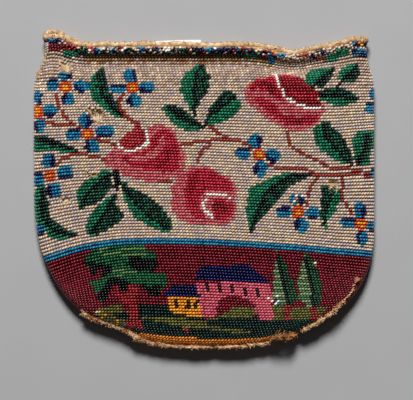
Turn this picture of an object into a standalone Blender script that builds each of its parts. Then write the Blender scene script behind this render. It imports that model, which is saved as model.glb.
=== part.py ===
"""A knitted bead bag, limp and empty, lying on its back with its mouth towards +Y.

The beaded cover is knitted in the round: front and back are one wall, closed by a sewn seam round the
bottom and open at the mouth, where the edge has rolled over on itself. A lining bag hangs inside it.
Every surface belongs to one family of flattened rings, each at its own row of the knitting, so that the
cover, its hollow, the lining, the edging and the seam all follow the same few sizes.

Rows count up from the middle of the bottom seam. Across is measured from the middle of the bag.
"""
import math
import random

import bmesh
import bpy
from mathutils import Vector

MM = 0.001

# Overall sizes of the bag as it lies
BAG_WIDTH = 157.0 * MM
BAG_HEIGHT = 136.5 * MM  # bottom seam to the mouth, on the centre line
BODY_DEPTH = 14.0 * MM  # back to front, where the bag is fullest
SIDE_FOLD_HEIGHT = 5.6 * MM  # the side folds, above the surface it lies on
CORNER_SHARE = 0.8  # how square the rings are: 1 is an ellipse, less is squarer
BACK_OVERSHOOT = 1.35  # the back would bulge by this share, and the surface below it presses it flat

# Outline of the rounded bottom: where each side starts to curve in, above the seam
LEFT_CURVE_START = 74.0 * MM
RIGHT_CURVE_START = 56.0 * MM
OUTLINE_POWER = 2.5
LEFT_CORNER_CUT = 7.0 * MM  # the left corner is drawn in by this much by its seam
LEFT_CORNER_HEIGHT = 7.5 * MM
LEFT_CORNER_HALF_HEIGHT = 4.0 * MM

# The bottom seam, where front and back are sewn together
SEAM_SIDE_RISE = 4.0 * MM  # from its middle to its ends
SEAM_DEPTH = 3.6 * MM  # front and back together
SEAM_HEIGHT = 4.0 * MM  # the seam's own allowance, solid up to the pocket's floor
SEAM_ROUNDING = 0.8 * MM  # the sewn edge stands this far below the first row
BOTTOM_SWELL = 26.0 * MM  # height over which the bag fills out above the seam

# Rows of knitting sag towards the sides of the bag
ROW_SAG_LEFT = 9.5 * MM
ROW_SAG_RIGHT = 7.0 * MM
SAG_LOW_END = 14.0 * MM
SAG_DEEPEST = 42.0 * MM
SAG_HIGH_END = 100.0 * MM
SAG_POWER = 2.8

# The mouth: a neck, a groove below the rolled edge, and the roll itself
NECK_BELOW_MOUTH = 6.2 * MM
NECK_INSET_LEFT = 5.0 * MM
NECK_INSET_RIGHT = 3.0 * MM
NECK_HALF_WIDTH = 6.0 * MM
MOUTH_INSET_LEFT = 3.0 * MM
MOUTH_INSET_RIGHT = 2.2 * MM
GROOVE_DEPTH = 3.6 * MM
GROOVE_HALF_WIDTH = 4.3 * MM
ROLL_RISE = 1.2 * MM  # the roll, above the body's fullest height
ROLL_BELOW_MOUTH = 1.2 * MM
ROLL_HALF_WIDTH = 2.0 * MM
MOUTH_OPENING_RISE = 1.4 * MM  # the hollow opens by this much between the groove and the mouth
MOUTH_WAVE_REACH = 20.0 * MM  # the mouth's waves fade out over this height

# Waves of the mouth line: (place across the bag, rise, half-width)
MOUTH_WAVES = (
    (-69.5 * MM, 4.2 * MM, 8.0 * MM),
    (41.0 * MM, -3.4 * MM, 12.0 * MM),
    (72.0 * MM, 2.6 * MM, 9.0 * MM),
)

# At the left end of the mouth the back stands up past the front
EAR_PLACE = -66.0 * MM
EAR_RISE = 2.0 * MM
EAR_HALF_WIDTH = 9.0 * MM

# Soft swells and hollows of the front: (place across, row, rise, half-width)
FRONT_SWELLS = (
    (-25.0 * MM, 118.0 * MM, 0.9 * MM, 26.0 * MM),
    (38.0 * MM, 96.0 * MM, -0.9 * MM, 22.0 * MM),
    (-52.0 * MM, 84.0 * MM, -0.7 * MM, 20.0 * MM),
    (10.0 * MM, 62.0 * MM, 0.8 * MM, 30.0 * MM),
    (58.0 * MM, 124.0 * MM, 0.8 * MM, 14.0 * MM),
)

# Walls
COVER_WALL = 1.6 * MM
LINING_WALL = 0.6 * MM
FIT_GAP = 0.3 * MM  # between pieces that touch
LINING_BELOW_MOUTH = 1.2 * MM

# Rows of beads, as ridges round the cover: each ridge stands for a few rows
RIDGE_COUNT = 28
RIDGE_DEPTH = 0.6 * MM

# In the middle of the back the ridges are pressed flat on the surface below
REST_HALF_WIDTH = 18.0 * MM
REST_LOW_ROW = 60.0 * MM
REST_HIGH_ROW = 78.0 * MM

# Fineness of the skins
COVER_SEGMENTS = 28  # across the front, and as many across the back
LINING_SEGMENTS = 14
SWELL_MARKS = (0.3, 0.5, 0.75, 1.1)  # rows of the inner faces, as shares of the swell's height
BODY_STEPS = 5
GROOVE_MARKS = (-2.2, -1.5, -1.0, -0.5, 0.0, 0.8)  # as shares of the groove's half-width from its middle
MERGE_DISTANCE = 0.005 * MM
SLOPE_STEP = 0.02  # turn over which a surface's slope is measured

# The knitted edging along the mouth
EDGING_RADIUS = 1.2 * MM
EDGING_REST = 0.2 * MM  # its back run clears the surface below by this much

# The strip of white tape that shows past the mouth, inside the back
TAPE_PLACE = -13.6 * MM
TAPE_WIDTH = 24.4 * MM
TAPE_INSIDE = 9.0 * MM
TAPE_PAST_EDGING = 1.5 * MM
TAPE_THICKNESS = 0.4 * MM
TAPE_SEGMENTS = 8

# Frayed threads along the bottom seam, from the left side to the middle of the right
FRAY_LEFT_ROW = 15.0 * MM
FRAY_RIGHT_PLACE = 26.0 * MM
FRAY_RADIUS = 1.0 * MM
FRAY_THINNEST = 0.7  # share of the radius
FRAY_WANDER = 0.3 * MM
FRAY_SPACING = 2.6 * MM
FRAY_STEPS = 30
FRAY_SEED = 11

# The line of stitching up the right of the seam, on the front
STITCH_TOP_ROW = 35.0 * MM
STITCH_LOW_ROW = 5.0 * MM
STITCH_FROM_EDGE = 3.0 * MM
STITCH_RADIUS = 0.45 * MM
STITCH_SPACING = 1.6 * MM
STITCH_STEPS = 120

# The tuft of brown thread on the seam
TUFT_START = 30.0 * MM
TUFT_LENGTH = 12.0 * MM
TUFT_ROW = 2.6 * MM
TUFT_RADIUS = 1.7 * MM
TUFT_TIP = 0.25  # share of the radius
TUFT_STEPS = 8

# Places where the beads are lost and the lining shows:
# (place across, distance below the mouth, half-width, half-height, turn in degrees)
BEAD_LOSSES = (
    (-63.9 * MM, 9.9 * MM, 2.4 * MM, 1.6 * MM, 0.0),
    (-49.8 * MM, 30.7 * MM, 4.0 * MM, 3.4 * MM, -35.0),
    (-50.6 * MM, 57.3 * MM, 3.6 * MM, 1.4 * MM, 8.0),
    (-63.9 * MM, 68.4 * MM, 2.8 * MM, 2.2 * MM, 20.0),
    (58.0 * MM, 61.9 * MM, 2.2 * MM, 1.4 * MM, 0.0),
)
LOSS_SIDES = 14
CUTTER_CLEARANCE = 4.0 * MM

# Finishes: colour, then roughness
FINISHES = {
    "ivory_beads": ((0.66, 0.56, 0.48), 0.35),
    "green_beads": ((0.02, 0.20, 0.10), 0.25),
    "dark_green_beads": ((0.01, 0.05, 0.03), 0.25),
    "rose_beads": ((0.50, 0.04, 0.07), 0.25),
    "blue_beads": ((0.03, 0.25, 0.42), 0.25),
    "maroon_beads": ((0.17, 0.01, 0.02), 0.3),
    "navy_beads": ((0.01, 0.01, 0.08), 0.25),
    "pink_beads": ((0.62, 0.14, 0.22), 0.25),
    "yellow_beads": ((0.80, 0.38, 0.05), 0.25),
    "olive_beads": ((0.28, 0.25, 0.08), 0.3),
    "orange_beads": ((0.55, 0.20, 0.03), 0.3),
    "knitted_silk": ((0.78, 0.62, 0.40), 0.8),
    "lining_cloth": ((0.72, 0.58, 0.38), 0.75),
    "white_tape": ((0.85, 0.82, 0.76), 0.8),
    "frayed_thread": ((0.50, 0.32, 0.16), 0.9),
    "brown_thread": ((0.20, 0.10, 0.05), 0.9),
    "yellow_thread": ((0.62, 0.48, 0.26), 0.8),
}
INSIDE_FINISH = "knitted_silk"

# Fields of colour that run right round the bag, from the seam up: (finish, last row)
BAND_FIELDS = (
    ("orange_beads", 6.0 * MM),
    ("dark_green_beads", 12.5 * MM),
    ("olive_beads", 18.0 * MM),
    ("maroon_beads", 46.0 * MM),
    ("blue_beads", 49.0 * MM),
    ("ivory_beads", BAG_HEIGHT),
)

# Flowers, leaves, trees and house as ovals over the bands, later ones on top:
# (finish, place across, height, half-length, half-width, turn in degrees)
OVAL_FIELDS = (
    ("green_beads", -47.5 * MM, 116.5 * MM, 13.0 * MM, 4.5 * MM, -57.0),
    ("green_beads", -8.0 * MM, 118.5 * MM, 12.0 * MM, 5.5 * MM, 70.0),
    ("green_beads", -16.0 * MM, 106.0 * MM, 11.0 * MM, 4.0 * MM, -35.0),
    ("green_beads", 9.0 * MM, 109.5 * MM, 10.0 * MM, 5.0 * MM, 50.0),
    ("green_beads", -62.0 * MM, 90.5 * MM, 10.0 * MM, 3.5 * MM, -18.0),
    ("green_beads", -48.0 * MM, 73.0 * MM, 12.0 * MM, 5.0 * MM, 45.0),
    ("dark_green_beads", -43.0 * MM, 61.5 * MM, 12.0 * MM, 5.0 * MM, 62.0),
    ("green_beads", -29.0 * MM, 63.5 * MM, 14.0 * MM, 4.5 * MM, -48.0),
    ("green_beads", -68.0 * MM, 59.5 * MM, 14.0 * MM, 4.0 * MM, -50.0),
    ("green_beads", 59.0 * MM, 95.5 * MM, 13.0 * MM, 5.0 * MM, -50.0),
    ("green_beads", 73.0 * MM, 91.5 * MM, 10.0 * MM, 4.0 * MM, 60.0),
    ("green_beads", 53.0 * MM, 120.5 * MM, 8.0 * MM, 4.0 * MM, 20.0),
    ("green_beads", 66.0 * MM, 122.5 * MM, 8.0 * MM, 3.5 * MM, 45.0),
    ("dark_green_beads", 62.0 * MM, 114.0 * MM, 10.0 * MM, 3.0 * MM, 0.0),
    ("green_beads", 34.0 * MM, 67.5 * MM, 18.0 * MM, 5.0 * MM, 50.0),
    ("dark_green_beads", 57.5 * MM, 63.5 * MM, 12.0 * MM, 4.0 * MM, 75.0),
    ("rose_beads", -27.0 * MM, 88.5 * MM, 17.0 * MM, 12.0 * MM, 10.0),
    ("rose_beads", 37.0 * MM, 111.0 * MM, 19.0 * MM, 11.0 * MM, -20.0),
    ("rose_beads", 0.5 * MM, 69.0 * MM, 16.0 * MM, 13.0 * MM, 20.0),
    ("blue_beads", -63.5 * MM, 118.5 * MM, 7.0 * MM, 6.0 * MM, 0.0),
    ("blue_beads", -33.0 * MM, 118.0 * MM, 8.0 * MM, 7.0 * MM, 0.0),
    ("blue_beads", -53.0 * MM, 97.5 * MM, 9.0 * MM, 7.0 * MM, 0.0),
    ("blue_beads", -71.0 * MM, 77.5 * MM, 8.0 * MM, 7.5 * MM, 0.0),
    ("blue_beads", 24.7 * MM, 87.5 * MM, 8.0 * MM, 7.5 * MM, 0.0),
    ("blue_beads", 43.2 * MM, 61.3 * MM, 8.0 * MM, 7.0 * MM, 0.0),
    ("blue_beads", 71.8 * MM, 55.5 * MM, 7.0 * MM, 8.0 * MM, 0.0),
    ("green_beads", -36.0 * MM, 33.5 * MM, 19.0 * MM, 10.0 * MM, -5.0),
    ("pink_beads", 14.0 * MM, 21.5 * MM, 18.0 * MM, 9.0 * MM, -3.0),
    ("yellow_beads", -9.0 * MM, 18.0 * MM, 8.0 * MM, 5.5 * MM, -3.0),
    ("navy_beads", 10.0 * MM, 33.5 * MM, 17.0 * MM, 4.5 * MM, -6.0),
    ("green_beads", 37.0 * MM, 31.5 * MM, 13.0 * MM, 5.0 * MM, -78.0),
    ("green_beads", 48.0 * MM, 30.5 * MM, 13.0 * MM, 5.0 * MM, -82.0),
)


def smooth_step(value, low, high):
    """0 below low, 1 above high, and an even S between them."""
    share = min(1.0, max(0.0, (value - low) / (high - low)))
    return share * share * (3.0 - 2.0 * share)


def bell(distance, half_width):
    """A bell of height 1 at distance 0."""
    return math.exp(-((distance / half_width) ** 2))


def rounded(share, power):
    """Height of a superellipse at a share of its run: 1 at share 0, falling to 0 at share 1."""
    share = min(1.0, max(0.0, share))
    return (1.0 - share**power) ** (1.0 / power)


def outline_half_width(side, height, inset=0.0):
    """From the middle of the bag to its left (-1) or right (+1) fold, at a height above the seam."""
    start = LEFT_CURVE_START if side < 0 else RIGHT_CURVE_START
    neck = NECK_INSET_LEFT if side < 0 else NECK_INSET_RIGHT
    mouth = MOUTH_INSET_LEFT if side < 0 else MOUTH_INSET_RIGHT
    neck_height = BAG_HEIGHT - NECK_BELOW_MOUTH
    width = BAG_WIDTH / 2 * rounded((start - height + inset) / start, OUTLINE_POWER)
    width -= neck * bell(height - neck_height, NECK_HALF_WIDTH)
    width -= mouth * smooth_step(height, neck_height, BAG_HEIGHT)
    if side < 0:
        width -= LEFT_CORNER_CUT * bell(height - inset - LEFT_CORNER_HEIGHT, LEFT_CORNER_HALF_HEIGHT)
    return width - inset


def side_shift(side, row):
    """How far a row lies above its own middle at the side of the bag; negative where it sags."""
    sag = ROW_SAG_LEFT if side < 0 else ROW_SAG_RIGHT
    sagging = smooth_step(row, SAG_LOW_END, SAG_DEEPEST) * (1 - smooth_step(row, SAG_DEEPEST, SAG_HIGH_END))
    return SEAM_SIDE_RISE * (1 - smooth_step(row, 0.0, SAG_LOW_END)) - sag * sagging


def mouth_rise(across, row, back_share):
    """Rise of the rows towards the mouth line; back_share is 0 on the front, 1 in the middle of the back."""
    rise = sum(height * bell(across - place, width) for place, height, width in MOUTH_WAVES)
    rise += EAR_RISE * back_share * bell(across - EAR_PLACE, EAR_HALF_WIDTH)
    return rise * smooth_step(row, BAG_HEIGHT - MOUTH_WAVE_REACH, BAG_HEIGHT)


def fullness(row):
    """Share of the bag's depth at a row: 0 at the seam and 1 where the bag has filled out."""
    return rounded(1.0 - row / BOTTOM_SWELL, 2.0)


def front_height(row, inset=0.0, inner=False):
    """Height of the front wall at the middle of a row.

    The outer face has the groove and the roll. The inner face passes under the roll, which is
    several turns thick.
    """
    seam_top = SIDE_FOLD_HEIGHT + SEAM_DEPTH / 2
    groove_row = BAG_HEIGHT - NECK_BELOW_MOUTH
    height = seam_top + (BODY_DEPTH - seam_top) * fullness(row - inset) - inset
    if inner:
        height -= GROOVE_DEPTH * bell(min(row, groove_row) - groove_row, GROOVE_HALF_WIDTH)
        return height + MOUTH_OPENING_RISE * smooth_step(row, groove_row, BAG_HEIGHT)
    height -= GROOVE_DEPTH * bell(row - groove_row, GROOVE_HALF_WIDTH)
    return height + ROLL_RISE * bell(row - BAG_HEIGHT + ROLL_BELOW_MOUTH, ROLL_HALF_WIDTH)


def back_height(row, inset=0.0):
    """Height of the back wall: flat on the surface below, and lifting to the seam."""
    return (SIDE_FOLD_HEIGHT - SEAM_DEPTH / 2) * (1.0 - fullness(row - inset)) + inset


def front_swell(across, row):
    """Rise of the front's soft swells at a place."""
    return sum(
        rise * bell(math.hypot(across - place, row - centre), width)
        for place, centre, rise, width in FRONT_SWELLS
    )


def ring_point(angle, row, inset=0.0, inner=False):
    """A point of the bag's wall. Angle 0 is the right fold, a quarter turn the front, a half the left fold.

    inset moves the point into the wall. inner picks the face of the hollow.
    """
    side = 1.0 if math.cos(angle) >= 0 else -1.0
    spread = abs(math.cos(angle)) ** CORNER_SHARE
    depth = abs(math.sin(angle)) ** CORNER_SHARE
    shift = side_shift(side, row)
    across = side * spread * outline_half_width(side, row + shift, inset)
    if math.sin(angle) >= 0:
        top = front_height(row, inset, inner) + front_swell(across, row)
        lift = SIDE_FOLD_HEIGHT + (top - SIDE_FOLD_HEIGHT) * depth
        back_share = 0.0
    else:
        drop = SIDE_FOLD_HEIGHT - back_height(row, inset)
        lift = SIDE_FOLD_HEIGHT - drop * min(1.0, BACK_OVERSHOOT * depth)
        back_share = depth
    height = row + shift * spread**SAG_POWER + mouth_rise(across, row, back_share)
    return Vector((across, height, lift))


def above_front(angle, row, clearance):
    """A point that stands off the front's outer face."""
    here = ring_point(angle, row)
    along = ring_point(angle + SLOPE_STEP, row) - here
    up = ring_point(angle, row + SLOPE_STEP * BAG_WIDTH / 2) - here
    return here + up.cross(along).normalized() * clearance


def angle_at(across, row):
    """The angle of the front's point at a place across the bag."""
    side = 1.0 if across >= 0 else -1.0
    share = min(1.0, abs(across) / outline_half_width(side, row + side_shift(side, row)))
    return math.acos(side * share ** (1.0 / CORNER_SHARE))


def ring(row, segments, inset=0.0, inner=False):
    """One closed ring, from the right fold round to the right fold again."""
    angles = [math.pi * step / segments for step in range(2 * segments + 1)]
    return [ring_point(angle, row, inset, inner) for angle in angles]


def folded_flat(points, drop=0.0):
    """The same ring with its front and back brought together, to close a skin."""
    middles = [(front + back) / 2 for front, back in zip(points, reversed(points))]
    return [Vector((middle.x, middle.y - drop, middle.z)) for middle in middles]


def loft(name, rings, rows, inside_from):
    """A closed skin over rings of equal length, the first and the last of which are folded flat.

    Each point keeps its row, and whether its ring is on the inside.
    """
    shape = bmesh.new()
    bmesh.ops.create_grid(shape, x_segments=len(rings[0]) - 1, y_segments=len(rings) - 1, size=1.0)
    row_layer = shape.verts.layers.float.new("row")
    inside_layer = shape.verts.layers.int.new("inside")
    shape.verts.ensure_lookup_table()
    ordered = sorted(shape.verts, key=lambda vert: (round(vert.co.y, 5), vert.co.x))
    for index, vert in enumerate(ordered):
        number, place = divmod(index, len(rings[0]))
        vert.co = rings[number][place]
        vert[row_layer] = rows[number]
        vert[inside_layer] = int(number >= inside_from)
    bmesh.ops.remove_doubles(shape, verts=shape.verts, dist=MERGE_DISTANCE)
    bmesh.ops.dissolve_degenerate(shape, edges=shape.edges, dist=MERGE_DISTANCE)
    bmesh.ops.recalc_face_normals(shape, faces=shape.faces)
    mesh = bpy.data.meshes.new(name)
    shape.to_mesh(mesh)
    shape.free()
    return mesh


def hollow_rows(floor_row, mouth_row):
    """Rows of an inner face, closest where the bag fills out and at the groove.

    Faces that lie inside one another share them, so that they keep their distance.
    """
    groove_row = BAG_HEIGHT - NECK_BELOW_MOUTH
    filling = [BOTTOM_SWELL * mark for mark in SWELL_MARKS]
    groove = [groove_row + GROOVE_HALF_WIDTH * mark for mark in GROOVE_MARKS]
    body = [filling[-1] + (groove[0] - filling[-1]) * step / BODY_STEPS for step in range(1, BODY_STEPS)]
    return [floor_row, *filling, *body, *groove, mouth_row]


def pocket(name, outer_rings, outer_rows, wall, floor_row, mouth_row, segments):
    """A bag with one wall: its outer rings, then its hollow back down to the pocket's floor."""
    inner_rows = list(reversed(hollow_rows(floor_row, mouth_row)))
    inner_rings = [ring(row, segments, wall, inner=True) for row in inner_rows]
    rings = [*outer_rings, *inner_rings, folded_flat(inner_rings[-1])]
    return loft(name, rings, [*outer_rows, *inner_rows, floor_row], len(outer_rings))


def ridged_ring(row, drawn_in):
    """A ring of the cover's outer face: on a ridge, or drawn in between two of them."""
    points = ring(row, COVER_SEGMENTS, RIDGE_DEPTH if drawn_in else 0.0)
    if REST_LOW_ROW <= row <= REST_HIGH_ROW:
        for point in points:
            if point.z < SIDE_FOLD_HEIGHT and abs(point.x) <= REST_HALF_WIDTH:
                point.z = 0.0
    return points


def beaded_cover():
    """The knitted tube of beads: ridged outside, smooth inside, sewn shut at the bottom."""
    count = 2 * RIDGE_COUNT
    rows = [BAG_HEIGHT * step / count for step in range(count + 1)]
    rings = [ridged_ring(row, step % 2 == 1) for step, row in enumerate(rows)]
    first = folded_flat(rings[0], SEAM_ROUNDING)
    return pocket(
        "beaded_cover", [first, *rings], [0.0, *rows], COVER_WALL, SEAM_HEIGHT, BAG_HEIGHT, COVER_SEGMENTS
    )


def lining():
    """The cloth bag inside the cover."""
    outer_inset = COVER_WALL + FIT_GAP
    floor_row = SEAM_HEIGHT + FIT_GAP
    mouth_row = BAG_HEIGHT - LINING_BELOW_MOUTH
    rows = hollow_rows(floor_row, mouth_row)
    rings = [ring(row, LINING_SEGMENTS, outer_inset, inner=True) for row in rows]
    first = folded_flat(rings[0])
    return pocket(
        "lining",
        [first, *rings],
        [floor_row, *rows],
        outer_inset + LINING_WALL,
        floor_row + LINING_WALL,
        mouth_row,
        LINING_SEGMENTS,
    )


def in_oval(across, height, place, centre, half_length, half_width, turn):
    """Whether a place lies in an oval that is turned from the across direction."""
    offset = Vector((across - place, height - centre))
    along = offset.x * math.cos(math.radians(turn)) + offset.y * math.sin(math.radians(turn))
    beside = offset.y * math.cos(math.radians(turn)) - offset.x * math.sin(math.radians(turn))
    return (along / half_length) ** 2 + (beside / half_width) ** 2 < 1.0


def finish_at(across, height, row):
    """The colour of the beads at a place."""
    chosen = next((finish for finish, last_row in BAND_FIELDS if row <= last_row), BAND_FIELDS[-1][0])
    for finish, *oval in OVAL_FIELDS:
        if in_oval(across, height, *oval):
            chosen = finish
    return chosen


def colour_fields(mesh):
    """Give each face of the cover the finish of its place. The back has the front's design, mirrored."""
    names = list(FINISHES)
    for name in names:
        mesh.materials.append(finish_material(name))
    rows = mesh.attributes["row"].data
    inside = mesh.attributes["inside"].data
    for face in mesh.polygons:
        if all(inside[vert].value for vert in face.vertices):
            face.material_index = names.index(INSIDE_FINISH)
            continue
        row = sum(rows[vert].value for vert in face.vertices) / len(face.vertices)
        across = face.center.x if face.normal.z >= 0 else -face.center.x
        face.material_index = names.index(finish_at(across, face.center.y, row))


def finish_material(name):
    """A finish from the table, made once."""
    if name in bpy.data.materials:
        return bpy.data.materials[name]
    colour, roughness = FINISHES[name]
    material = bpy.data.materials.new(name)
    material.use_nodes = True
    shader = material.node_tree.nodes["Principled BSDF"]
    shader.inputs["Base Color"].default_value = (*colour, 1.0)
    shader.inputs["Roughness"].default_value = roughness
    shader.inputs["Metallic"].default_value = 0.0
    material.diffuse_color = (*colour, 1.0)
    return material


def add_piece(name, data, collection, carrier, finish=None):
    """Put a piece in its collection, on the bag's carrier."""
    piece = bpy.data.objects.new(name, data)
    collection.objects.link(piece)
    piece.parent = carrier
    if finish:
        data.materials.append(finish_material(finish))
    return piece


def tube(name, points, radius, shares=None, closed=False):
    """A round thread along points; shares scale its radius at each of them."""
    curve = bpy.data.curves.new(name, "CURVE")
    curve.dimensions = "3D"
    curve.bevel_depth = radius
    curve.bevel_resolution = 2
    curve.use_fill_caps = not closed
    spline = curve.splines.new("POLY")
    spline.points.add(len(points) - 1)
    spline.use_cyclic_u = closed
    for index, point in enumerate(points):
        spline.points[index].co = (*point, 1.0)
        spline.points[index].radius = shares[index] if shares else 1.0
    return curve


def evenly_spaced(points, spacing):
    """Points along the same path, a spacing apart."""
    kept = [points[0]]
    for point in points[1:]:
        if (point - kept[-1]).length >= spacing:
            kept.append(point)
    return kept


def mouth_edging():
    """The knitted edge along the mouth: a soft cord round the end of the wall."""
    outer = ring(BAG_HEIGHT, COVER_SEGMENTS)
    inner = ring(BAG_HEIGHT, COVER_SEGMENTS, COVER_WALL, inner=True)
    path = []
    for outside, inside in zip(outer[:-1], inner[:-1]):
        middle = (outside + inside) / 2
        middle.y += EDGING_RADIUS + FIT_GAP
        middle.z = max(middle.z, EDGING_RADIUS + EDGING_REST)
        path.append(middle)
    return tube("mouth_edging", path, EDGING_RADIUS, closed=True)


def white_tape():
    """A strip of tape on the lining's back, which shows past the mouth."""
    lining_face = back_height(BAG_HEIGHT) + COVER_WALL + FIT_GAP + LINING_WALL
    edging_top = EDGING_REST + 2 * EDGING_RADIUS
    level = max(lining_face, edging_top) + FIT_GAP + TAPE_THICKNESS / 2
    past_edging = BAG_HEIGHT + FIT_GAP + 2 * EDGING_RADIUS + TAPE_PAST_EDGING
    low, high = BAG_HEIGHT - TAPE_INSIDE, past_edging
    shape = bmesh.new()
    bmesh.ops.create_grid(shape, x_segments=TAPE_SEGMENTS, y_segments=1, size=0.5)
    for vert in shape.verts:
        across = TAPE_PLACE + TAPE_WIDTH * vert.co.x
        height = low + (high - low) * (vert.co.y + 0.5)
        vert.co = (across, height + mouth_rise(across, height, 1.0), level)
    mesh = bpy.data.meshes.new("white_tape")
    shape.to_mesh(mesh)
    shape.free()
    return mesh


def seam_outline(clearance):
    """The sewn edge of the bag, down the left side and along the bottom, stood off in plan."""
    rows = [FRAY_LEFT_ROW * step / FRAY_STEPS for step in range(FRAY_STEPS, -1, -1)]
    side = [ring_point(math.pi, row) for row in rows]
    bottom = folded_flat(ring(0.0, FRAY_STEPS), SEAM_ROUNDING)[FRAY_STEPS:]
    edge = [*side, *bottom]
    outline = []
    for before, here, after in zip(edge, edge[1:], edge[2:]):
        along = (after - before).normalized()
        outline.append(here + Vector((along.y, -along.x, 0.0)) * clearance)
    return outline


def seam_fray():
    """Frayed ends of the knitting, matted along the seam."""
    chance = random.Random(FRAY_SEED)
    outline = seam_outline(FRAY_RADIUS + FIT_GAP)
    run = [point for point in outline if point.x < FRAY_RIGHT_PLACE]
    points = evenly_spaced(run, FRAY_SPACING)
    path = [point + Vector((0.0, -chance.uniform(0.0, FRAY_WANDER), 0.0)) for point in points]
    shares = [chance.uniform(FRAY_THINNEST, 1.0) for _ in path]
    return tube("seam_fray", path, FRAY_RADIUS, shares)


def seam_stitching():
    """The line of stitches on the front that holds the seam up the right side."""
    path = []
    for step in range(STITCH_STEPS + 1):
        row = STITCH_LOW_ROW + (STITCH_TOP_ROW - STITCH_LOW_ROW) * step / STITCH_STEPS
        across = outline_half_width(1, row + side_shift(1, row)) - STITCH_FROM_EDGE
        path.append(above_front(angle_at(across, row), row, STITCH_RADIUS + FIT_GAP))
    return tube("seam_stitching", evenly_spaced(path, STITCH_SPACING), STITCH_RADIUS)


def thread_tuft():
    """A matted tuft of thread on the seam, thick in the middle."""
    shares = [max(TUFT_TIP, math.sin(math.pi * step / TUFT_STEPS)) for step in range(TUFT_STEPS + 1)]
    path = []
    for step, share in enumerate(shares):
        across = TUFT_START + TUFT_LENGTH * step / TUFT_STEPS
        path.append(above_front(angle_at(across, TUFT_ROW), TUFT_ROW, TUFT_RADIUS * share + FIT_GAP))
    return tube("thread_tuft", path, TUFT_RADIUS, shares)


def loss_cutter(name, place, below_mouth, half_width, half_height, turn):
    """An oval post through the front wall only."""
    low, high = SIDE_FOLD_HEIGHT, BODY_DEPTH + CUTTER_CLEARANCE
    shape = bmesh.new()
    bmesh.ops.create_cone(
        shape, cap_ends=True, segments=LOSS_SIDES, radius1=1.0, radius2=1.0, depth=high - low
    )
    bmesh.ops.scale(shape, vec=(half_width, half_height, 1.0), verts=shape.verts)
    mesh = bpy.data.meshes.new(name)
    shape.to_mesh(mesh)
    shape.free()
    cutter = bpy.data.objects.new(name, mesh)
    cutter.location = (place, BAG_HEIGHT - below_mouth, (low + high) / 2)
    cutter.rotation_euler.z = math.radians(turn)
    cutter.hide_render = True
    cutter.display_type = "WIRE"
    return cutter


def cut_losses(cover, collection, carrier):
    """Open the front wall where the beads are lost."""
    for number, loss in enumerate(BEAD_LOSSES, 1):
        cutter = loss_cutter(f"bead_loss_{number}", *loss)
        collection.objects.link(cutter)
        cutter.parent = carrier
        modifier = cover.modifiers.new(cutter.name, "BOOLEAN")
        modifier.operation = "DIFFERENCE"
        modifier.object = cutter


def thicken(piece, thickness):
    """Give an open surface its wall, half to each side."""
    modifier = piece.modifiers.new("thickness", "SOLIDIFY")
    modifier.thickness = thickness
    modifier.offset = 0.0


def rest_on_origin(carrier, pieces):
    """Centre the bag's footprint on the origin, with its lowest point on the surface it lies on."""
    bpy.context.view_layer.update()
    depsgraph = bpy.context.evaluated_depsgraph_get()
    corners = []
    for piece in pieces:
        evaluated = piece.evaluated_get(depsgraph)
        corners += [vert.co.copy() for vert in evaluated.to_mesh().vertices]
        evaluated.to_mesh_clear()
    low = [min(corner[axis] for corner in corners) for axis in range(3)]
    high = [max(corner[axis] for corner in corners) for axis in range(3)]
    carrier.location = (-(low[0] + high[0]) / 2, -(low[1] + high[1]) / 2, -low[2])


def build():
    for leftover in list(bpy.data.objects):
        bpy.data.objects.remove(leftover, do_unlink=True)
    bag = bpy.data.collections.new("beaded_bag")
    cutters = bpy.data.collections.new("cutters")
    for collection in (bag, cutters):
        bpy.context.scene.collection.children.link(collection)
    carrier = bpy.data.objects.new("bag_middle", None)
    bag.objects.link(carrier)

    cover_mesh = beaded_cover()
    colour_fields(cover_mesh)
    cover = add_piece("beaded_cover", cover_mesh, bag, carrier)
    cut_losses(cover, cutters, carrier)
    tape = add_piece("white_tape", white_tape(), bag, carrier, "white_tape")
    thicken(tape, TAPE_THICKNESS)
    pieces = [
        cover,
        tape,
        add_piece("lining", lining(), bag, carrier, "lining_cloth"),
        add_piece("mouth_edging", mouth_edging(), bag, carrier, "knitted_silk"),
        add_piece("seam_fray", seam_fray(), bag, carrier, "frayed_thread"),
        add_piece("seam_stitching", seam_stitching(), bag, carrier, "yellow_thread"),
        add_piece("thread_tuft", thread_tuft(), bag, carrier, "brown_thread"),
    ]
    rest_on_origin(carrier, pieces)


build()
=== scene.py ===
# %% [markdown]
# # A knitted bead bag
#
# The bag lies on its back, limp and empty, with its mouth towards +Y. Front and back are one tube of
# knitting with a glass bead on every stitch, sewn shut along the rounded bottom. A cloth lining hangs
# inside. The edge of the mouth has rolled over, and some beads are lost.
#
# The CAD part is loaded first. It fixes where every piece goes, so each new piece repeats the part's own
# sizes and stands in for one of its nodes.

import math
import random

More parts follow.
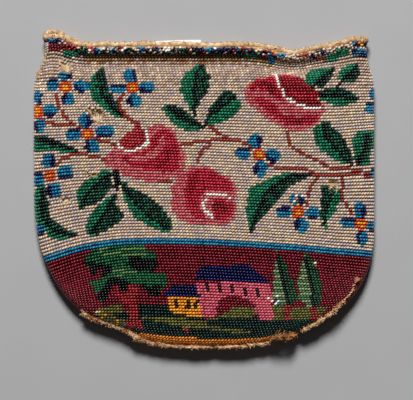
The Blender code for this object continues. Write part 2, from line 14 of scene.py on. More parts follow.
import bmesh
import bpy
import numpy as np
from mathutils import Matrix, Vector


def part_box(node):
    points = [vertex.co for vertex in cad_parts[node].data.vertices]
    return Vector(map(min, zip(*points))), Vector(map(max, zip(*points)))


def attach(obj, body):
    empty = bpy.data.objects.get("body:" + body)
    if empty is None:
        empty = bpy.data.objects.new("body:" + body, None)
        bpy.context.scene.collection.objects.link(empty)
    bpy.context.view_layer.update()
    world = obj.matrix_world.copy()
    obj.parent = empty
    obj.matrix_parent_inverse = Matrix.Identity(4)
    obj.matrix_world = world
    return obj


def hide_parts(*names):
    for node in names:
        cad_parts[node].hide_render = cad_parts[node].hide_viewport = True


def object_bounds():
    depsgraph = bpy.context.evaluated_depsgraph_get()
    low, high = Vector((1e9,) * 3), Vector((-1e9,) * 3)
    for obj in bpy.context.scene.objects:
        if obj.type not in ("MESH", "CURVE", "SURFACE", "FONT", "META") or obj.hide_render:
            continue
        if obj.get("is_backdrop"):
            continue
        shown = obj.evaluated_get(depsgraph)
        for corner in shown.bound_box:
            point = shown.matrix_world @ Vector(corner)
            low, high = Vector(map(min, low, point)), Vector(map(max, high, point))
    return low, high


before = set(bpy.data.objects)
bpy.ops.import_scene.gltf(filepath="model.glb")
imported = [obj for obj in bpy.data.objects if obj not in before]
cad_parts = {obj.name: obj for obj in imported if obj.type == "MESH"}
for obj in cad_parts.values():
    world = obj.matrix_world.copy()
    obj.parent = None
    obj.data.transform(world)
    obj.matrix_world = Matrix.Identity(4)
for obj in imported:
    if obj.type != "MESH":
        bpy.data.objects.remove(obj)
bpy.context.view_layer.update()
MM = 0.001

# %% [markdown]
# ## The bag's surface
#
# One family of flattened rings describes the whole bag. A ring is one row of the knitting, and an angle
# goes round it: 0 is the right fold, a quarter turn the middle of the front, a half turn the left fold.
# The sizes are the ones that the part was built from, so that whatever is made on this surface lies
# where the part's solids are. The functions take arrays, because there are twenty thousand beads.

# %% Sizes that the bag shares with its part
BAG_WIDTH = 157.0 * MM
BAG_HEIGHT = 136.5 * MM
BODY_DEPTH = 14.0 * MM
SIDE_FOLD_HEIGHT = 5.6 * MM
CORNER_SHARE = 0.8
BACK_OVERSHOOT = 1.35
CURVE_START = {-1: 74.0 * MM, 1: 56.0 * MM}  # left and right
OUTLINE_POWER = 2.5
CORNER_CUT = {-1: 7.0 * MM, 1: 0.0}
CORNER_CUT_HEIGHT, CORNER_CUT_HALF_HEIGHT = 7.5 * MM, 4.0 * MM
SEAM_SIDE_RISE = 4.0 * MM
SEAM_DEPTH = 3.6 * MM
SEAM_HEIGHT = 4.0 * MM
SEAM_ROUNDING = 0.8 * MM
BOTTOM_SWELL = 26.0 * MM
ROW_SAG = {-1: 9.5 * MM, 1: 7.0 * MM}
SAG_LOW_END, SAG_DEEPEST, SAG_HIGH_END = 14.0 * MM, 42.0 * MM, 100.0 * MM
SAG_POWER = 2.8
NECK_BELOW_MOUTH = 6.2 * MM
NECK_INSET = {-1: 5.0 * MM, 1: 3.0 * MM}
NECK_HALF_WIDTH = 6.0 * MM
MOUTH_INSET = {-1: 3.0 * MM, 1: 2.2 * MM}
GROOVE_DEPTH, GROOVE_HALF_WIDTH = 3.6 * MM, 4.3 * MM
ROLL_RISE, ROLL_BELOW_MOUTH, ROLL_HALF_WIDTH = 1.2 * MM, 1.2 * MM, 2.0 * MM
MOUTH_OPENING_RISE = 1.4 * MM
MOUTH_WAVE_REACH = 20.0 * MM
MOUTH_WAVES = (
    (-69.5 * MM, 4.2 * MM, 8.0 * MM),
    (41.0 * MM, -3.4 * MM, 12.0 * MM),
    (72.0 * MM, 2.6 * MM, 9.0 * MM),
)
EAR_PLACE, EAR_RISE, EAR_HALF_WIDTH = -66.0 * MM, 2.0 * MM, 9.0 * MM
FRONT_SWELLS = (
    (-25.0 * MM, 118.0 * MM, 0.9 * MM, 26.0 * MM),
    (38.0 * MM, 96.0 * MM, -0.9 * MM, 22.0 * MM),
    (-52.0 * MM, 84.0 * MM, -0.7 * MM, 20.0 * MM),
    (10.0 * MM, 62.0 * MM, 0.8 * MM, 30.0 * MM),
    (58.0 * MM, 124.0 * MM, 0.8 * MM, 14.0 * MM),
)
COVER_WALL, LINING_WALL, FIT_GAP = 1.6 * MM, 0.6 * MM, 0.3 * MM
LINING_BELOW_MOUTH = 1.2 * MM

# The seam's middle stands SEAM_ROUNDING above the cover's lowest edge, halfway between its sides.
cover_low, cover_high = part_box("beaded_cover")
SEAM_MIDDLE = np.array([(cover_low.x + cover_high.x) / 2, cover_low.y + SEAM_ROUNDING, 0.0])
print("Middle of the seam, in mm:", SEAM_MIDDLE / MM)


# %% The rings of the bag
def smooth_step(value, low, high):
    share = np.clip((value - low) / (high - low), 0.0, 1.0)
    return share * share * (3.0 - 2.0 * share)


def bell(distance, half_width):
    return np.exp(-((distance / half_width) ** 2))


def rounded(share, power):
    return (1.0 - np.clip(share, 0.0, 1.0) ** power) ** (1.0 / power)


def by_side(side, sizes):
    return np.where(side < 0, sizes[-1], sizes[1])


def outline_half_width(side, height, inset=0.0):
    start = by_side(side, CURVE_START)
    neck_height = BAG_HEIGHT - NECK_BELOW_MOUTH
    width = BAG_WIDTH / 2 * rounded((start - height + inset) / start, OUTLINE_POWER)
    width = width - by_side(side, NECK_INSET) * bell(height - neck_height, NECK_HALF_WIDTH)
    width = width - by_side(side, MOUTH_INSET) * smooth_step(height, neck_height, BAG_HEIGHT)
    cut = bell(height - inset - CORNER_CUT_HEIGHT, CORNER_CUT_HALF_HEIGHT)
    return width - by_side(side, CORNER_CUT) * cut - inset


def side_shift(side, row):
    sagging = smooth_step(row, SAG_LOW_END, SAG_DEEPEST) * (1 - smooth_step(row, SAG_DEEPEST, SAG_HIGH_END))
    return SEAM_SIDE_RISE * (1 - smooth_step(row, 0.0, SAG_LOW_END)) - by_side(side, ROW_SAG) * sagging


def mouth_rise(across, row, back_share):
    rise = sum(height * bell(across - place, width) for place, height, width in MOUTH_WAVES)
    rise = rise + EAR_RISE * back_share * bell(across - EAR_PLACE, EAR_HALF_WIDTH)
    return rise * smooth_step(row, BAG_HEIGHT - MOUTH_WAVE_REACH, BAG_HEIGHT)


def fullness(row):
    return rounded(1.0 - row / BOTTOM_SWELL, 2.0)


def front_height(row, inset, inner):
    seam_top = SIDE_FOLD_HEIGHT + SEAM_DEPTH / 2
    groove_row = BAG_HEIGHT - NECK_BELOW_MOUTH
    height = seam_top + (BODY_DEPTH - seam_top) * fullness(row - inset) - inset
    if inner:
        height = height - GROOVE_DEPTH * bell(np.minimum(row, groove_row) - groove_row, GROOVE_HALF_WIDTH)
        return height + MOUTH_OPENING_RISE * smooth_step(row, groove_row, BAG_HEIGHT)
    height = height - GROOVE_DEPTH * bell(row - groove_row, GROOVE_HALF_WIDTH)
    return height + ROLL_RISE * bell(row - BAG_HEIGHT + ROLL_BELOW_MOUTH, ROLL_HALF_WIDTH)


def back_height(row, inset=0.0):
    return (SIDE_FOLD_HEIGHT - SEAM_DEPTH / 2) * (1.0 - fullness(row - inset)) + inset


def front_swell(across, row):
    return sum(
        rise * bell(np.hypot(across - place, row - centre), width)
        for place, centre, rise, width in FRONT_SWELLS
    )


def bag_point(angle, row, inset=0.0, inner=False):
    """Points of the bag's wall, in the frame. inset goes into the wall; inner picks the hollow's face."""
    angle, row = np.broadcast_arrays(np.asarray(angle, float), np.asarray(row, float))
    side = np.where(np.cos(angle) >= 0, 1, -1)
    spread = np.abs(np.cos(angle)) ** CORNER_SHARE
    depth = np.abs(np.sin(angle)) ** CORNER_SHARE
    shift = side_shift(side, row)
    across = side * spread * outline_half_width(side, row + shift, inset)
    front = np.sin(angle) >= 0
    rise = front_height(row, inset, inner) + front_swell(across, row) - SIDE_FOLD_HEIGHT
    drop = SIDE_FOLD_HEIGHT - back_height(row, inset)
    lift = SIDE_FOLD_HEIGHT + np.where(front, rise * depth, -drop * np.minimum(1.0, BACK_OVERSHOOT * depth))
    height = row + shift * spread**SAG_POWER + mouth_rise(across, row, np.where(front, 0.0, depth))
    return np.stack([across, height, lift], axis=-1) + SEAM_MIDDLE


top_of_front = bag_point(math.pi / 2, BAG_HEIGHT / 2)
print("Middle of the front, in mm:", np.round(top_of_front / MM, 1))

# %% [markdown]
# ## Tools for materials
#
# Shader maths reads best as ordinary expressions. `Value` wraps one socket, and each operator on it adds
# a Math node. `Finish` starts a material with a Principled shader and adds any other node by its type.


# %% A socket that can be added and multiplied
class Value:
    def __init__(self, finish, socket):
        self.finish = finish
        self.socket = socket

    def maths(self, operation, first, second):
        return self.finish.node("ShaderNodeMath", {"operation": operation}, {0: first, 1: second})

    def __add__(self, other):
        return self.maths("ADD", self, other)

    def __sub__(self, other):
        return self.maths("SUBTRACT", self, other)

    def __rsub__(self, other):
        return self.maths("SUBTRACT", other, self)

    def __mul__(self, other):
        return self.maths("MULTIPLY", self, other)

    __radd__ = __add__
    __rmul__ = __mul__


class Finish:
    """A material, with a short way to add its nodes."""

    def __init__(self, name, roughness, specular=0.5):
        self.material = bpy.data.materials.new(name)
        self.material.use_nodes = True
        self.tree = self.material.node_tree
        self.shader = self.tree.nodes["Principled BSDF"]
        self.shader.inputs["Roughness"].default_value = roughness
        self.shader.inputs["Specular IOR Level"].default_value = specular

    def node(self, kind, settings=None, values=None, output=0):
        made = self.tree.nodes.new(kind)
        for key, value in (settings or {}).items():
            setattr(made, key, value)
        for key, value in (values or {}).items():
            if isinstance(value, Value):
                self.tree.links.new(value.socket, made.inputs[key])
            else:
                made.inputs[key].default_value = value
        return Value(self, made.outputs[output])

    def feed(self, name, value):
        self.tree.links.new(value.socket, self.shader.inputs[name])

    def place(self):
        return self.node("ShaderNodeTexCoord", output="Object")

    def noise(self, scale, detail=2.0, place=None):
        return self.node(
            "ShaderNodeTexNoise", values={"Vector": place or self.place(), "Scale": scale, "Detail": detail}
        )

    def bands(self, direction, scale, distortion, place):
        return self.node(
            "ShaderNodeTexWave",
            {"wave_type": "BANDS", "bands_direction": direction},
            {"Vector": place, "Scale": scale, "Distortion": distortion},
            output="Fac",
        )

    def mix(self, share, first, second):
        return self.node("ShaderNodeMix", {"data_type": "RGBA"}, {0: share, 6: first, 7: second}, output=2)

    def bump(self, height, strength, distance):
        values = {"Height": height, "Strength": strength, "Distance": distance}
        self.feed("Normal", self.node("ShaderNodeBump", values=values))


def colour(red, green, blue):
    """A colour given in the 0 to 255 numbers of a screen, as the linear numbers a shader uses."""
    shares = [value / 255.0 for value in (red, green, blue)]
    linear = [share / 12.92 if share <= 0.04045 else ((share + 0.055) / 1.055) ** 2.4 for share in shares]
    return (*linear, 1.0)


# %% [markdown]
# ## Colours of the beads
#
# Old glass beads are dyed in batches, so each colour of the design is really two or three shades mixed
# at random. Each shade is a piece of its own with its own glass. The colour is set on the shader, and
# noise makes some beads duller than others, as the glass has weathered.

# %% The glass of each shade
GLASS = {
    "ivory": ((236, 213, 183), (219, 190, 158), (201, 182, 178)),
    # Painted shade: a darker ivory for the beads in the shade under the rolled mouth.
    "ivory_soiled": ((200, 174, 150), (180, 156, 142)),
    "maroon": ((130, 18, 36), (102, 12, 26)),
    "leaf_green": ((30, 130, 92), (16, 100, 70)),
    "leaf_dark": ((20, 86, 60), (12, 34, 24), (28, 56, 46)),
    "black": ((10, 12, 10),),
    "turquoise": ((36, 140, 174), (20, 108, 152)),
    "navy": ((20, 20, 88), (12, 12, 60)),
    "orange_red": ((222, 78, 22),),
    "yellow": ((250, 172, 50), (238, 144, 34)),
    "rose_light": ((220, 118, 120), (206, 90, 98)),
    "rose": ((200, 42, 62), (178, 28, 50)),
    "rose_deep": ((168, 24, 40), (132, 22, 32)),
    "bud": ((194, 54, 60), (152, 30, 38)),
    "white": ((254, 250, 238),),
    "stem": ((154, 50, 38),),
    "pink": ((230, 106, 124), (214, 88, 108)),
    "tree_light": ((98, 132, 78),),
    "tree_green": ((26, 98, 58), (18, 78, 46)),
    "cypress_light": ((142, 160, 118),),
    "cypress_middle": ((72, 112, 70),),
    "cypress_dark": ((38, 82, 48), (22, 58, 36)),
    "trunk": ((162, 50, 46),),
    "olive": ((116, 114, 54), (94, 90, 40)),
    "ground_dark": ((8, 46, 38), (8, 28, 24)),
    "hem": ((250, 158, 54), (234, 130, 38)),
    # Painted shade: the groove's brown glass stands for the shadow that the roll casts, with some dirt.
    "groove": ((146, 100, 60), (168, 122, 80)),
    "groove_dark": ((86, 56, 30),),
}


WEAR_SCALE, WEAR_DETAIL = 900.0, 1.0
LEAST_ROUGHNESS, WORN_ROUGHNESS = 0.16, 0.3


def bead_glass(name, tone):
    """Weathered glass: a clear coat over the colour, worn dull in patches a few beads wide."""
    glass = Finish(name, WORN_ROUGHNESS)
    glass.shader.inputs["Base Color"].default_value = colour(*tone)
    glass.material.diffuse_color = colour(*tone)
    wear = glass.noise(WEAR_SCALE, WEAR_DETAIL)
    glass.feed("Roughness", LEAST_ROUGHNESS + WORN_ROUGHNESS * wear)
    return glass.material


print("Shades of glass:", sum(len(tones) for tones in GLASS.values()))

# %% [markdown]
# ## The design
#
# The design is drawn on a chart, as a knitter would have it: x runs to the right and y down, in chart
# units. Each shape is a short outline or line. A bead takes the colour of the last shape that covers its
# place, so edges come out stepped, one bead at a time, as in the real knitting.

# %% The chart, and how a bead finds its place on it
CHART_UNIT = 0.46 * MM
CHART_MIDDLE = 204.0
CHART_SEAM = 345.1
VEIN_REACH, STEM_REACH, LINE_REACH = 1.4, 1.45, 1.5  # half the widths of drawn lines, in chart units


def chart_place(points):
    """Where points in the frame lie on the chart."""
    across = (points[:, 0] - SEAM_MIDDLE[0]) / CHART_UNIT + CHART_MIDDLE
    down = CHART_SEAM - (points[:, 1] - SEAM_MIDDLE[1]) / CHART_UNIT
    return across, down


def within(outline, x, y):
    """Which places lie inside an outline."""
    found = np.zeros(len(x), bool)
    for (x1, y1), (x2, y2) in zip(outline, outline[1:] + outline[:1]):
        if y1 == y2:
            continue
        crosses = (y1 > y) != (y2 > y)
        found ^= crosses & (x < (x2 - x1) * (y - y1) / (y2 - y1) + x1)
    return found


def along(line, x, y, reach):
    """Which places lie within reach of a line."""
    nearest = np.full(len(x), np.inf)
    for (x1, y1), (x2, y2) in zip(line, line[1:]):
        run = (x2 - x1) ** 2 + (y2 - y1) ** 2
        share = np.clip(((x - x1) * (x2 - x1) + (y - y1) * (y2 - y1)) / run, 0.0, 1.0)
        nearest = np.minimum(nearest, np.hypot(x - x1 - share * (x2 - x1), y - y1 - share * (y2 - y1)))
    return nearest < reach


# %% [markdown]
# ### Leaves
#
# Each leaf has a light half, a dark half and a black vein between them. It is drawn as its whole
# outline in light green, then its dark half over it, then the vein.

# %% Leaves: outline, dark half, vein
LEAVES = (
    (
        [(103.6, 68), (95, 73), (91, 78), (89, 88), (91, 98), (98, 104), (105, 110), (116, 118),
         (124, 118), (120.6, 111), (115.7, 101), (110.5, 92), (108.5, 83), (104.8, 76)],
        [(96, 74), (103.6, 68), (104.8, 76), (108.5, 83), (110.5, 92), (115.7, 101), (120.6, 111),
         (124, 118), (112, 110), (103.6, 100), (97.5, 88)],
        [(97, 76), (99, 88), (105, 99), (113, 109), (123, 117)],
    ),
    (
        [(200.5, 64), (194, 67), (186, 74), (181, 83), (180, 91), (184.5, 99), (189.5, 109), (194, 117),
         (198, 106), (205, 96), (209.5, 88), (209.5, 77), (205.5, 67)],
        [(200.5, 65), (195, 76), (193, 92), (194, 104), (195, 117), (198, 106), (205, 96), (209.5, 88),
         (209.5, 77), (205.5, 67)],
        [(201, 66), (196, 76), (194, 90), (194.5, 104), (195, 116)],
    ),
    (
        [(161.5, 108), (165, 104.5), (175, 106), (187, 111), (192, 118), (204, 127), (198, 131),
         (186, 131), (176, 126), (169, 119)],
        [(165, 105), (175, 106), (187, 111), (192, 118), (204, 127), (198, 127.5), (181, 122), (170, 114)],
        [(168, 107), (178, 115), (190, 122), (202, 127)],
    ),
    (
        [(224, 91), (232, 92), (237, 98), (241, 104), (239, 111), (235, 116), (226, 121), (216, 125),
         (206, 126), (206, 116), (210, 107), (218, 97)],
        [(224, 91), (232, 92), (236, 98), (232, 102), (219, 110), (207, 120), (206, 116), (210, 107),
         (218, 97)],
        [(234, 99), (220, 109), (208, 119), (203, 128)],
    ),
    (
        [(305, 83), (305, 76), (311, 70), (322, 69), (334.5, 69), (333, 77), (327, 83), (321, 88),
         (312, 87)],
        [(334.5, 69), (333, 77), (327, 83), (321, 88), (312, 87), (320, 79), (326, 70)],
        [(333, 70), (323, 79), (313, 87)],
    ),
    (
        [(338, 79), (340, 71), (347, 66), (357, 64), (359, 69), (359, 75), (355, 81), (346, 84)],
        [(357, 65), (359, 69), (359, 75), (355, 81), (346, 84), (348, 76)],
        [(357, 66), (347, 76), (342, 82), (336, 89)],
    ),
    (
        [(315, 96), (323, 90), (336, 88.5), (348, 91), (359, 97), (356, 102), (346, 106), (331, 105),
         (322, 100)],
        [(315, 96), (323, 90), (336, 88.5), (348, 91), (359, 97), (345, 98), (330, 97.5)],
        [(316, 96.5), (330, 96.5), (344, 97.5), (358, 98)],
    ),
    (
        [(313.5, 130), (320, 123), (328, 121), (332, 127), (340, 134), (346, 142), (351, 155), (353, 165),
         (345, 165), (333, 159), (321, 151), (315, 144)],
        [(321, 124), (328, 121), (332, 127), (340, 134), (346, 142), (351, 155), (353, 165), (342, 157),
         (333, 147), (325, 138)],
        [(322, 126), (325, 137), (333, 146), (342, 157), (351, 165)],
    ),
    (
        [(352, 139), (357, 131), (370, 130), (378, 134), (378, 151), (371, 148), (369, 165), (356, 167),
         (353, 158)],
        [(364, 134), (372, 134), (370, 148), (368, 162), (357, 166), (362, 152)],
        [(367, 135), (366, 147), (361, 156), (356, 165)],
    ),
    (
        [(311, 173), (297, 172), (284, 173), (275, 176.5), (265, 181.5), (256, 184.5), (249.5, 188),
         (247.5, 195), (246, 209), (247, 221), (250.3, 237), (254, 230), (257, 223), (266, 214),
         (272, 207.5), (278, 199), (284, 191), (292, 185), (309, 177)],
        [(311, 173), (297, 174), (285, 177), (276, 184), (266, 193), (259, 203), (255, 214), (250.5, 236),
         (257, 223), (266, 214), (272, 207.5), (278, 199), (284, 191), (292, 185), (309, 177)],
        [(311, 174), (297, 174.5), (285, 178), (277, 184), (267, 193), (260, 203), (254, 218), (251, 232)],
    ),
    (
        [(321, 186), (328, 186.5), (334, 190), (340, 188), (340.5, 198), (337, 207), (331, 216),
         (328, 221), (324.8, 232), (320, 214), (319.5, 204), (321, 193)],
        [(321, 186), (328, 186.5), (334, 190), (331, 200), (327, 210), (323, 224), (320, 214),
         (319.5, 204), (321, 193)],
        [(333, 190), (330, 201), (326, 212), (323, 224)],
    ),
    (
        [(33, 135), (44, 136), (56, 140), (68, 145), (80, 151.5), (65, 153), (52, 150), (35, 152)],
        [(33, 135), (44, 136), (56, 140), (68, 145), (80, 151.5), (62, 150), (46, 145), (33, 141)],
        [(33, 138), (46, 141), (60, 145), (78, 151)],
    ),
    (
        [(43, 185), (38, 187), (34, 195), (33, 209), (36, 221), (43, 230), (50, 237.5), (62, 240.5),
         (73, 238), (79, 233), (68, 231.5), (60, 226), (53, 221), (49, 212), (50, 204), (46, 196)],
        [(44, 185), (40, 192), (40, 206), (41, 215), (47, 224), (54, 231), (64, 235), (79, 233.5),
         (68, 231.5), (60, 226), (53, 221), (49, 212), (50, 204), (46, 196)],
        [(42, 190), (40.5, 205), (42, 216), (48, 225), (56, 232), (66, 235.5), (77, 234)],
    ),
    (
        [(110, 169), (103.6, 171), (92.5, 177.5), (83, 182.5), (78, 189), (76, 195), (77.5, 204),
         (80, 209), (86, 207.5), (95, 204.5), (104, 198), (111, 188), (112.5, 178)],
        [(111, 173), (98, 183), (88, 195), (80, 209), (86, 207.5), (95, 204.5), (104, 198), (111, 188),
         (112.5, 178)],
        [(111, 174), (98, 183), (88, 195), (81, 207)],
    ),
    (
        [(114.5, 193), (105, 200), (95, 209), (87, 220), (86, 229), (90, 236.5), (98, 235), (110, 229),
         (119.5, 222), (124, 216), (121, 210), (116, 205), (117, 195)],
        [(115, 194), (109, 206), (102, 217), (92, 233), (98, 235), (110, 229), (119.5, 222), (124, 216),
         (121, 210), (116, 205), (117, 195)],
        [(115, 195), (109, 206), (102, 218), (92, 233)],
    ),
    (
        [(121, 182), (123, 192), (125.5, 200), (128, 208), (135, 217), (148, 226), (162, 231.5),
         (174, 231), (172.5, 223), (168, 216), (162, 208), (155.5, 202), (148, 196), (141, 192),
         (132, 189), (125, 183)],
        [(122, 182), (128, 194), (137, 207), (149, 218), (166, 229), (174, 231), (172.5, 223), (168, 216),
         (162, 208), (155.5, 202), (148, 196), (141, 192), (132, 189), (125, 183)],
        [(123, 186), (130, 196), (139, 207), (151, 218), (166, 228)],
    ),
)
STALKS = ([(113, 171), (121, 170), (121, 184), (117.5, 195), (114, 188)],)


def draw_leaves(x, y, chosen):
    for outline, dark_half, vein in LEAVES:
        chosen[within(outline, x, y)] = "leaf_green"
        chosen[within(dark_half, x, y)] = "leaf_dark"
        chosen[along(vein, x, y, VEIN_REACH)] = "black"
    for outline in STALKS:
        chosen[within(outline, x, y)] = "black"


# %% [markdown]
# ### Roses, flowers and stems
#
# A rose is a body in up to four tones, with lines of white beads between its petals. A small flower has
# a yellow centre in an orange-red ring, and up to four blue petals that are navy along one side.

# %% Roses: their fields in drawing order, then their white lines
ROSE_FIELDS = (
    ("rose_light", [(148, 129), (154, 126), (164, 126), (176, 132), (178, 141), (184, 151), (185.5, 160),
                    (184, 173), (170, 179), (156, 182), (141, 181), (125, 176), (116, 169), (106, 168),
                    (107, 155), (112, 149), (119, 142), (130, 140), (144, 140)]),
    ("rose", [(151, 140), (156, 132), (166, 130), (174, 135), (177, 146), (180, 158), (178, 170),
              (164, 173), (148, 170), (134, 168), (124, 162), (122, 157), (132, 154), (144, 152),
              (149, 147)]),
    ("rose_light", [(128, 158), (146, 155), (158, 147), (162, 136), (166, 136), (164, 148), (156, 158),
                    (142, 163), (130, 163)]),
    ("rose_deep", [(166, 148), (170, 152), (170, 162), (160, 168), (154, 168), (164, 160)]),
    ("bud", [(119, 143), (126, 135), (134, 129), (136.5, 124), (140, 128), (145, 131), (147, 137),
             (146, 143), (141, 148), (130, 150), (121, 147)]),
    ("rose_light", [(193, 165), (206, 165.5), (218, 173.5), (229, 177.5), (235.5, 185), (238, 191.5),
                    (234.5, 200), (235, 209), (235, 218), (223, 226), (200, 226), (194, 225),
                    (181, 221.5), (174, 213), (172, 204), (171, 188), (175, 181), (181, 174)]),
    ("rose", [(197, 168), (209, 169), (222, 177), (231, 183), (233, 190), (220, 190), (206, 190),
              (200, 196), (200, 206), (204, 218), (194, 217), (187, 206), (185, 190), (188, 176)]),
    ("rose", [(212, 200), (226, 201), (232, 204), (232, 216), (222, 221), (210, 220), (214, 212)]),
    ("rose_deep", [(213, 203), (224, 202), (228, 207), (226, 214), (217, 215), (212, 209)]),
    ("rose_deep", [(190, 178), (196, 174), (196, 186), (192, 196), (189, 190)]),
    ("rose_light", [(258, 79), (277, 75), (299, 77), (306, 84), (316, 91), (321, 95), (317, 99),
                    (323, 105), (323.5, 113), (317, 123.5), (304.5, 131.5), (292, 132.5), (284, 128.5),
                    (268, 120.5), (258, 113), (248, 105), (243, 93), (248, 84)]),
    ("rose", [(254, 82), (277, 77), (284, 98), (280, 104), (270, 92), (258, 90), (250, 92), (248, 86)]),
    ("rose", [(252, 100), (262, 98), (272, 104), (284, 116), (298, 118), (314, 116), (318, 120),
              (304, 127), (288, 126), (272, 117), (262, 108)]),
    ("rose_deep", [(262, 84), (272, 82), (278, 92), (274, 96), (266, 90)]),
    ("rose_deep", [(277, 76), (299, 77), (306, 84), (316, 91), (321, 95), (317, 99), (321, 105),
                   (310, 109), (300, 106), (288, 99), (281, 88)]),
    ("rose", [(288, 92), (300, 90), (312, 96), (314, 100), (300, 97), (290, 97)]),
    ("rose_deep", [(290, 120), (302, 120), (310, 122), (298, 125), (290, 123)]),
)
WHITE_LINES = (
    [(145.4, 131), (146.6, 137), (147.2, 143), (144, 146.5), (139.4, 149.4), (134.5, 151.2), (128, 151.2),
     (121.8, 148.2), (118, 145.5)],
    [(207, 194.5), (226, 194.8), (229, 198)],
    [(206.6, 200), (202.5, 203), (204.8, 206), (205.2, 211), (209.7, 215), (213.5, 217)],
    [(277, 75.5), (278, 82), (278.8, 86.5), (282.4, 91.5), (283.6, 95.7), (286.6, 98.8), (290.3, 101.2),
     (295.7, 104.2), (303, 106.6), (309.7, 110), (315, 109.6), (320, 106.6)],
)
STEM_LINES = (
    [(124, 95), (119, 102), (121, 109), (126, 117), (131, 121), (137, 123), (140, 127)],
    [(57, 96), (58, 104), (62, 112), (67, 119), (75, 126), (80, 128)],
    [(43, 121), (52, 124), (62, 126), (75, 126)],
    [(96, 139), (105, 143), (120, 144)],
    [(58, 166), (62, 159), (76, 154), (90, 156), (105, 159)],
    [(179, 145), (200, 142), (224, 140), (246, 143), (252, 150)],
    [(211, 128), (222, 136), (234, 141)],
    [(197, 163), (200, 155), (204, 150), (209, 146)],
    [(285, 130), (288, 144), (295, 150), (303, 154), (313, 159), (330, 168), (350, 169), (370, 174)],
    [(266, 164), (280, 170), (303, 168), (317, 176), (340, 174), (370, 176)],
    [(317, 178), (312, 184), (309, 190), (306, 205)],
    [(342, 178), (342, 199), (346, 204), (351, 212)],
    [(160, 181), (172, 183)],
)
# Blue flowers: the centre, then each petal as a box and the direction of its navy side in degrees
RIGHT, DOWN, LEFT, UP, LOW_LEFT = 0, 90, 180, 270, 125
BLUE_FLOWERS = (
    ((66, 87), ((73, 81, 90, 93, LOW_LEFT), (46, 79, 60, 91, UP), (58, 70, 73, 81, RIGHT),
                (62, 93, 75, 106, LEFT))),
    ((132.5, 88.5), ((124, 69, 138, 84, RIGHT), (109, 84, 127, 94, UP), (138, 83, 156, 94, LOW_LEFT),
                     (127, 94, 142, 108, LEFT))),
    ((38, 112), ((35, 90, 42, 105, RIGHT), (42, 105, 58, 118, DOWN), (34, 119, 45, 133, LEFT))),
    ((88.5, 134), ((79, 114, 91, 129, RIGHT), (65, 129, 83, 141, UP), (95, 125, 115, 138, DOWN),
                   (85, 139, 100, 154, LEFT))),
    ((50, 176), ((42, 153, 56, 169, RIGHT), (57, 166, 74, 180, DOWN), (32, 172, 45, 186, UP),
                 (46, 183, 61, 199, LEFT))),
    ((258, 155), ((248, 134, 262, 149, RIGHT), (235, 148, 251, 160, UP), (264, 150, 281, 163, LOW_LEFT),
                  (253, 161, 267, 177, LEFT))),
    ((298, 213), ((290, 194, 304, 206, RIGHT), (276, 206, 292, 218, UP), (305, 207, 320, 220, DOWN),
                  (294, 218, 308, 233, LEFT))),
    ((361, 224), ((354, 203, 366, 218, RIGHT), (340, 217, 356, 229, UP), (367, 221, 376, 232, DOWN),
                  (356, 230, 368, 246, LEFT))),
    ((379, 107), ((365, 102, 376, 114, UP), (370, 87, 378, 101, RIGHT))),
    ((381, 172), ((370, 167, 378, 178, UP),)),
    ((33, 238), ((36, 224, 45, 236, DOWN),)),
)
NAVY_FROM = 0.3  # how far out from a petal's middle its navy side begins, of the way to its edge
CENTRE_REACH, YELLOW_REACH = 6.2, 3.2


def draw_flower(x, y, chosen, centre, petals):
    for left, top, right, bottom, navy_side in petals:
        across = (x - (left + right) / 2) / ((right - left) / 2)
        down = (y - (top + bottom) / 2) / ((bottom - top) / 2)
        petal = across**2 + down**2 < 1.0
        turn = math.radians(navy_side)
        chosen[petal] = "turquoise"
        chosen[petal & (across * math.cos(turn) + down * math.sin(turn) > NAVY_FROM)] = "navy"
    reach = np.hypot(x - centre[0], y - centre[1])
    chosen[reach < CENTRE_REACH] = "orange_red"
    chosen[reach < YELLOW_REACH] = "yellow"


def draw_flowers(x, y, chosen):
    for line in STEM_LINES:
        chosen[along(line, x, y, STEM_REACH)] = "stem"
    for name, outline in ROSE_FIELDS:
        chosen[within(outline, x, y)] = name
    for line in WHITE_LINES:
        chosen[along(line, x, y, LINE_REACH)] = "white"
    for centre, petals in BLUE_FLOWERS:
        draw_flower(x, y, chosen, centre, petals)


# %% [markdown]
# ### The landscape
#
# Below a blue band the ground is maroon, with a tree, two houses and two cypresses on green and olive
# ground. The last rows above the seam are orange.

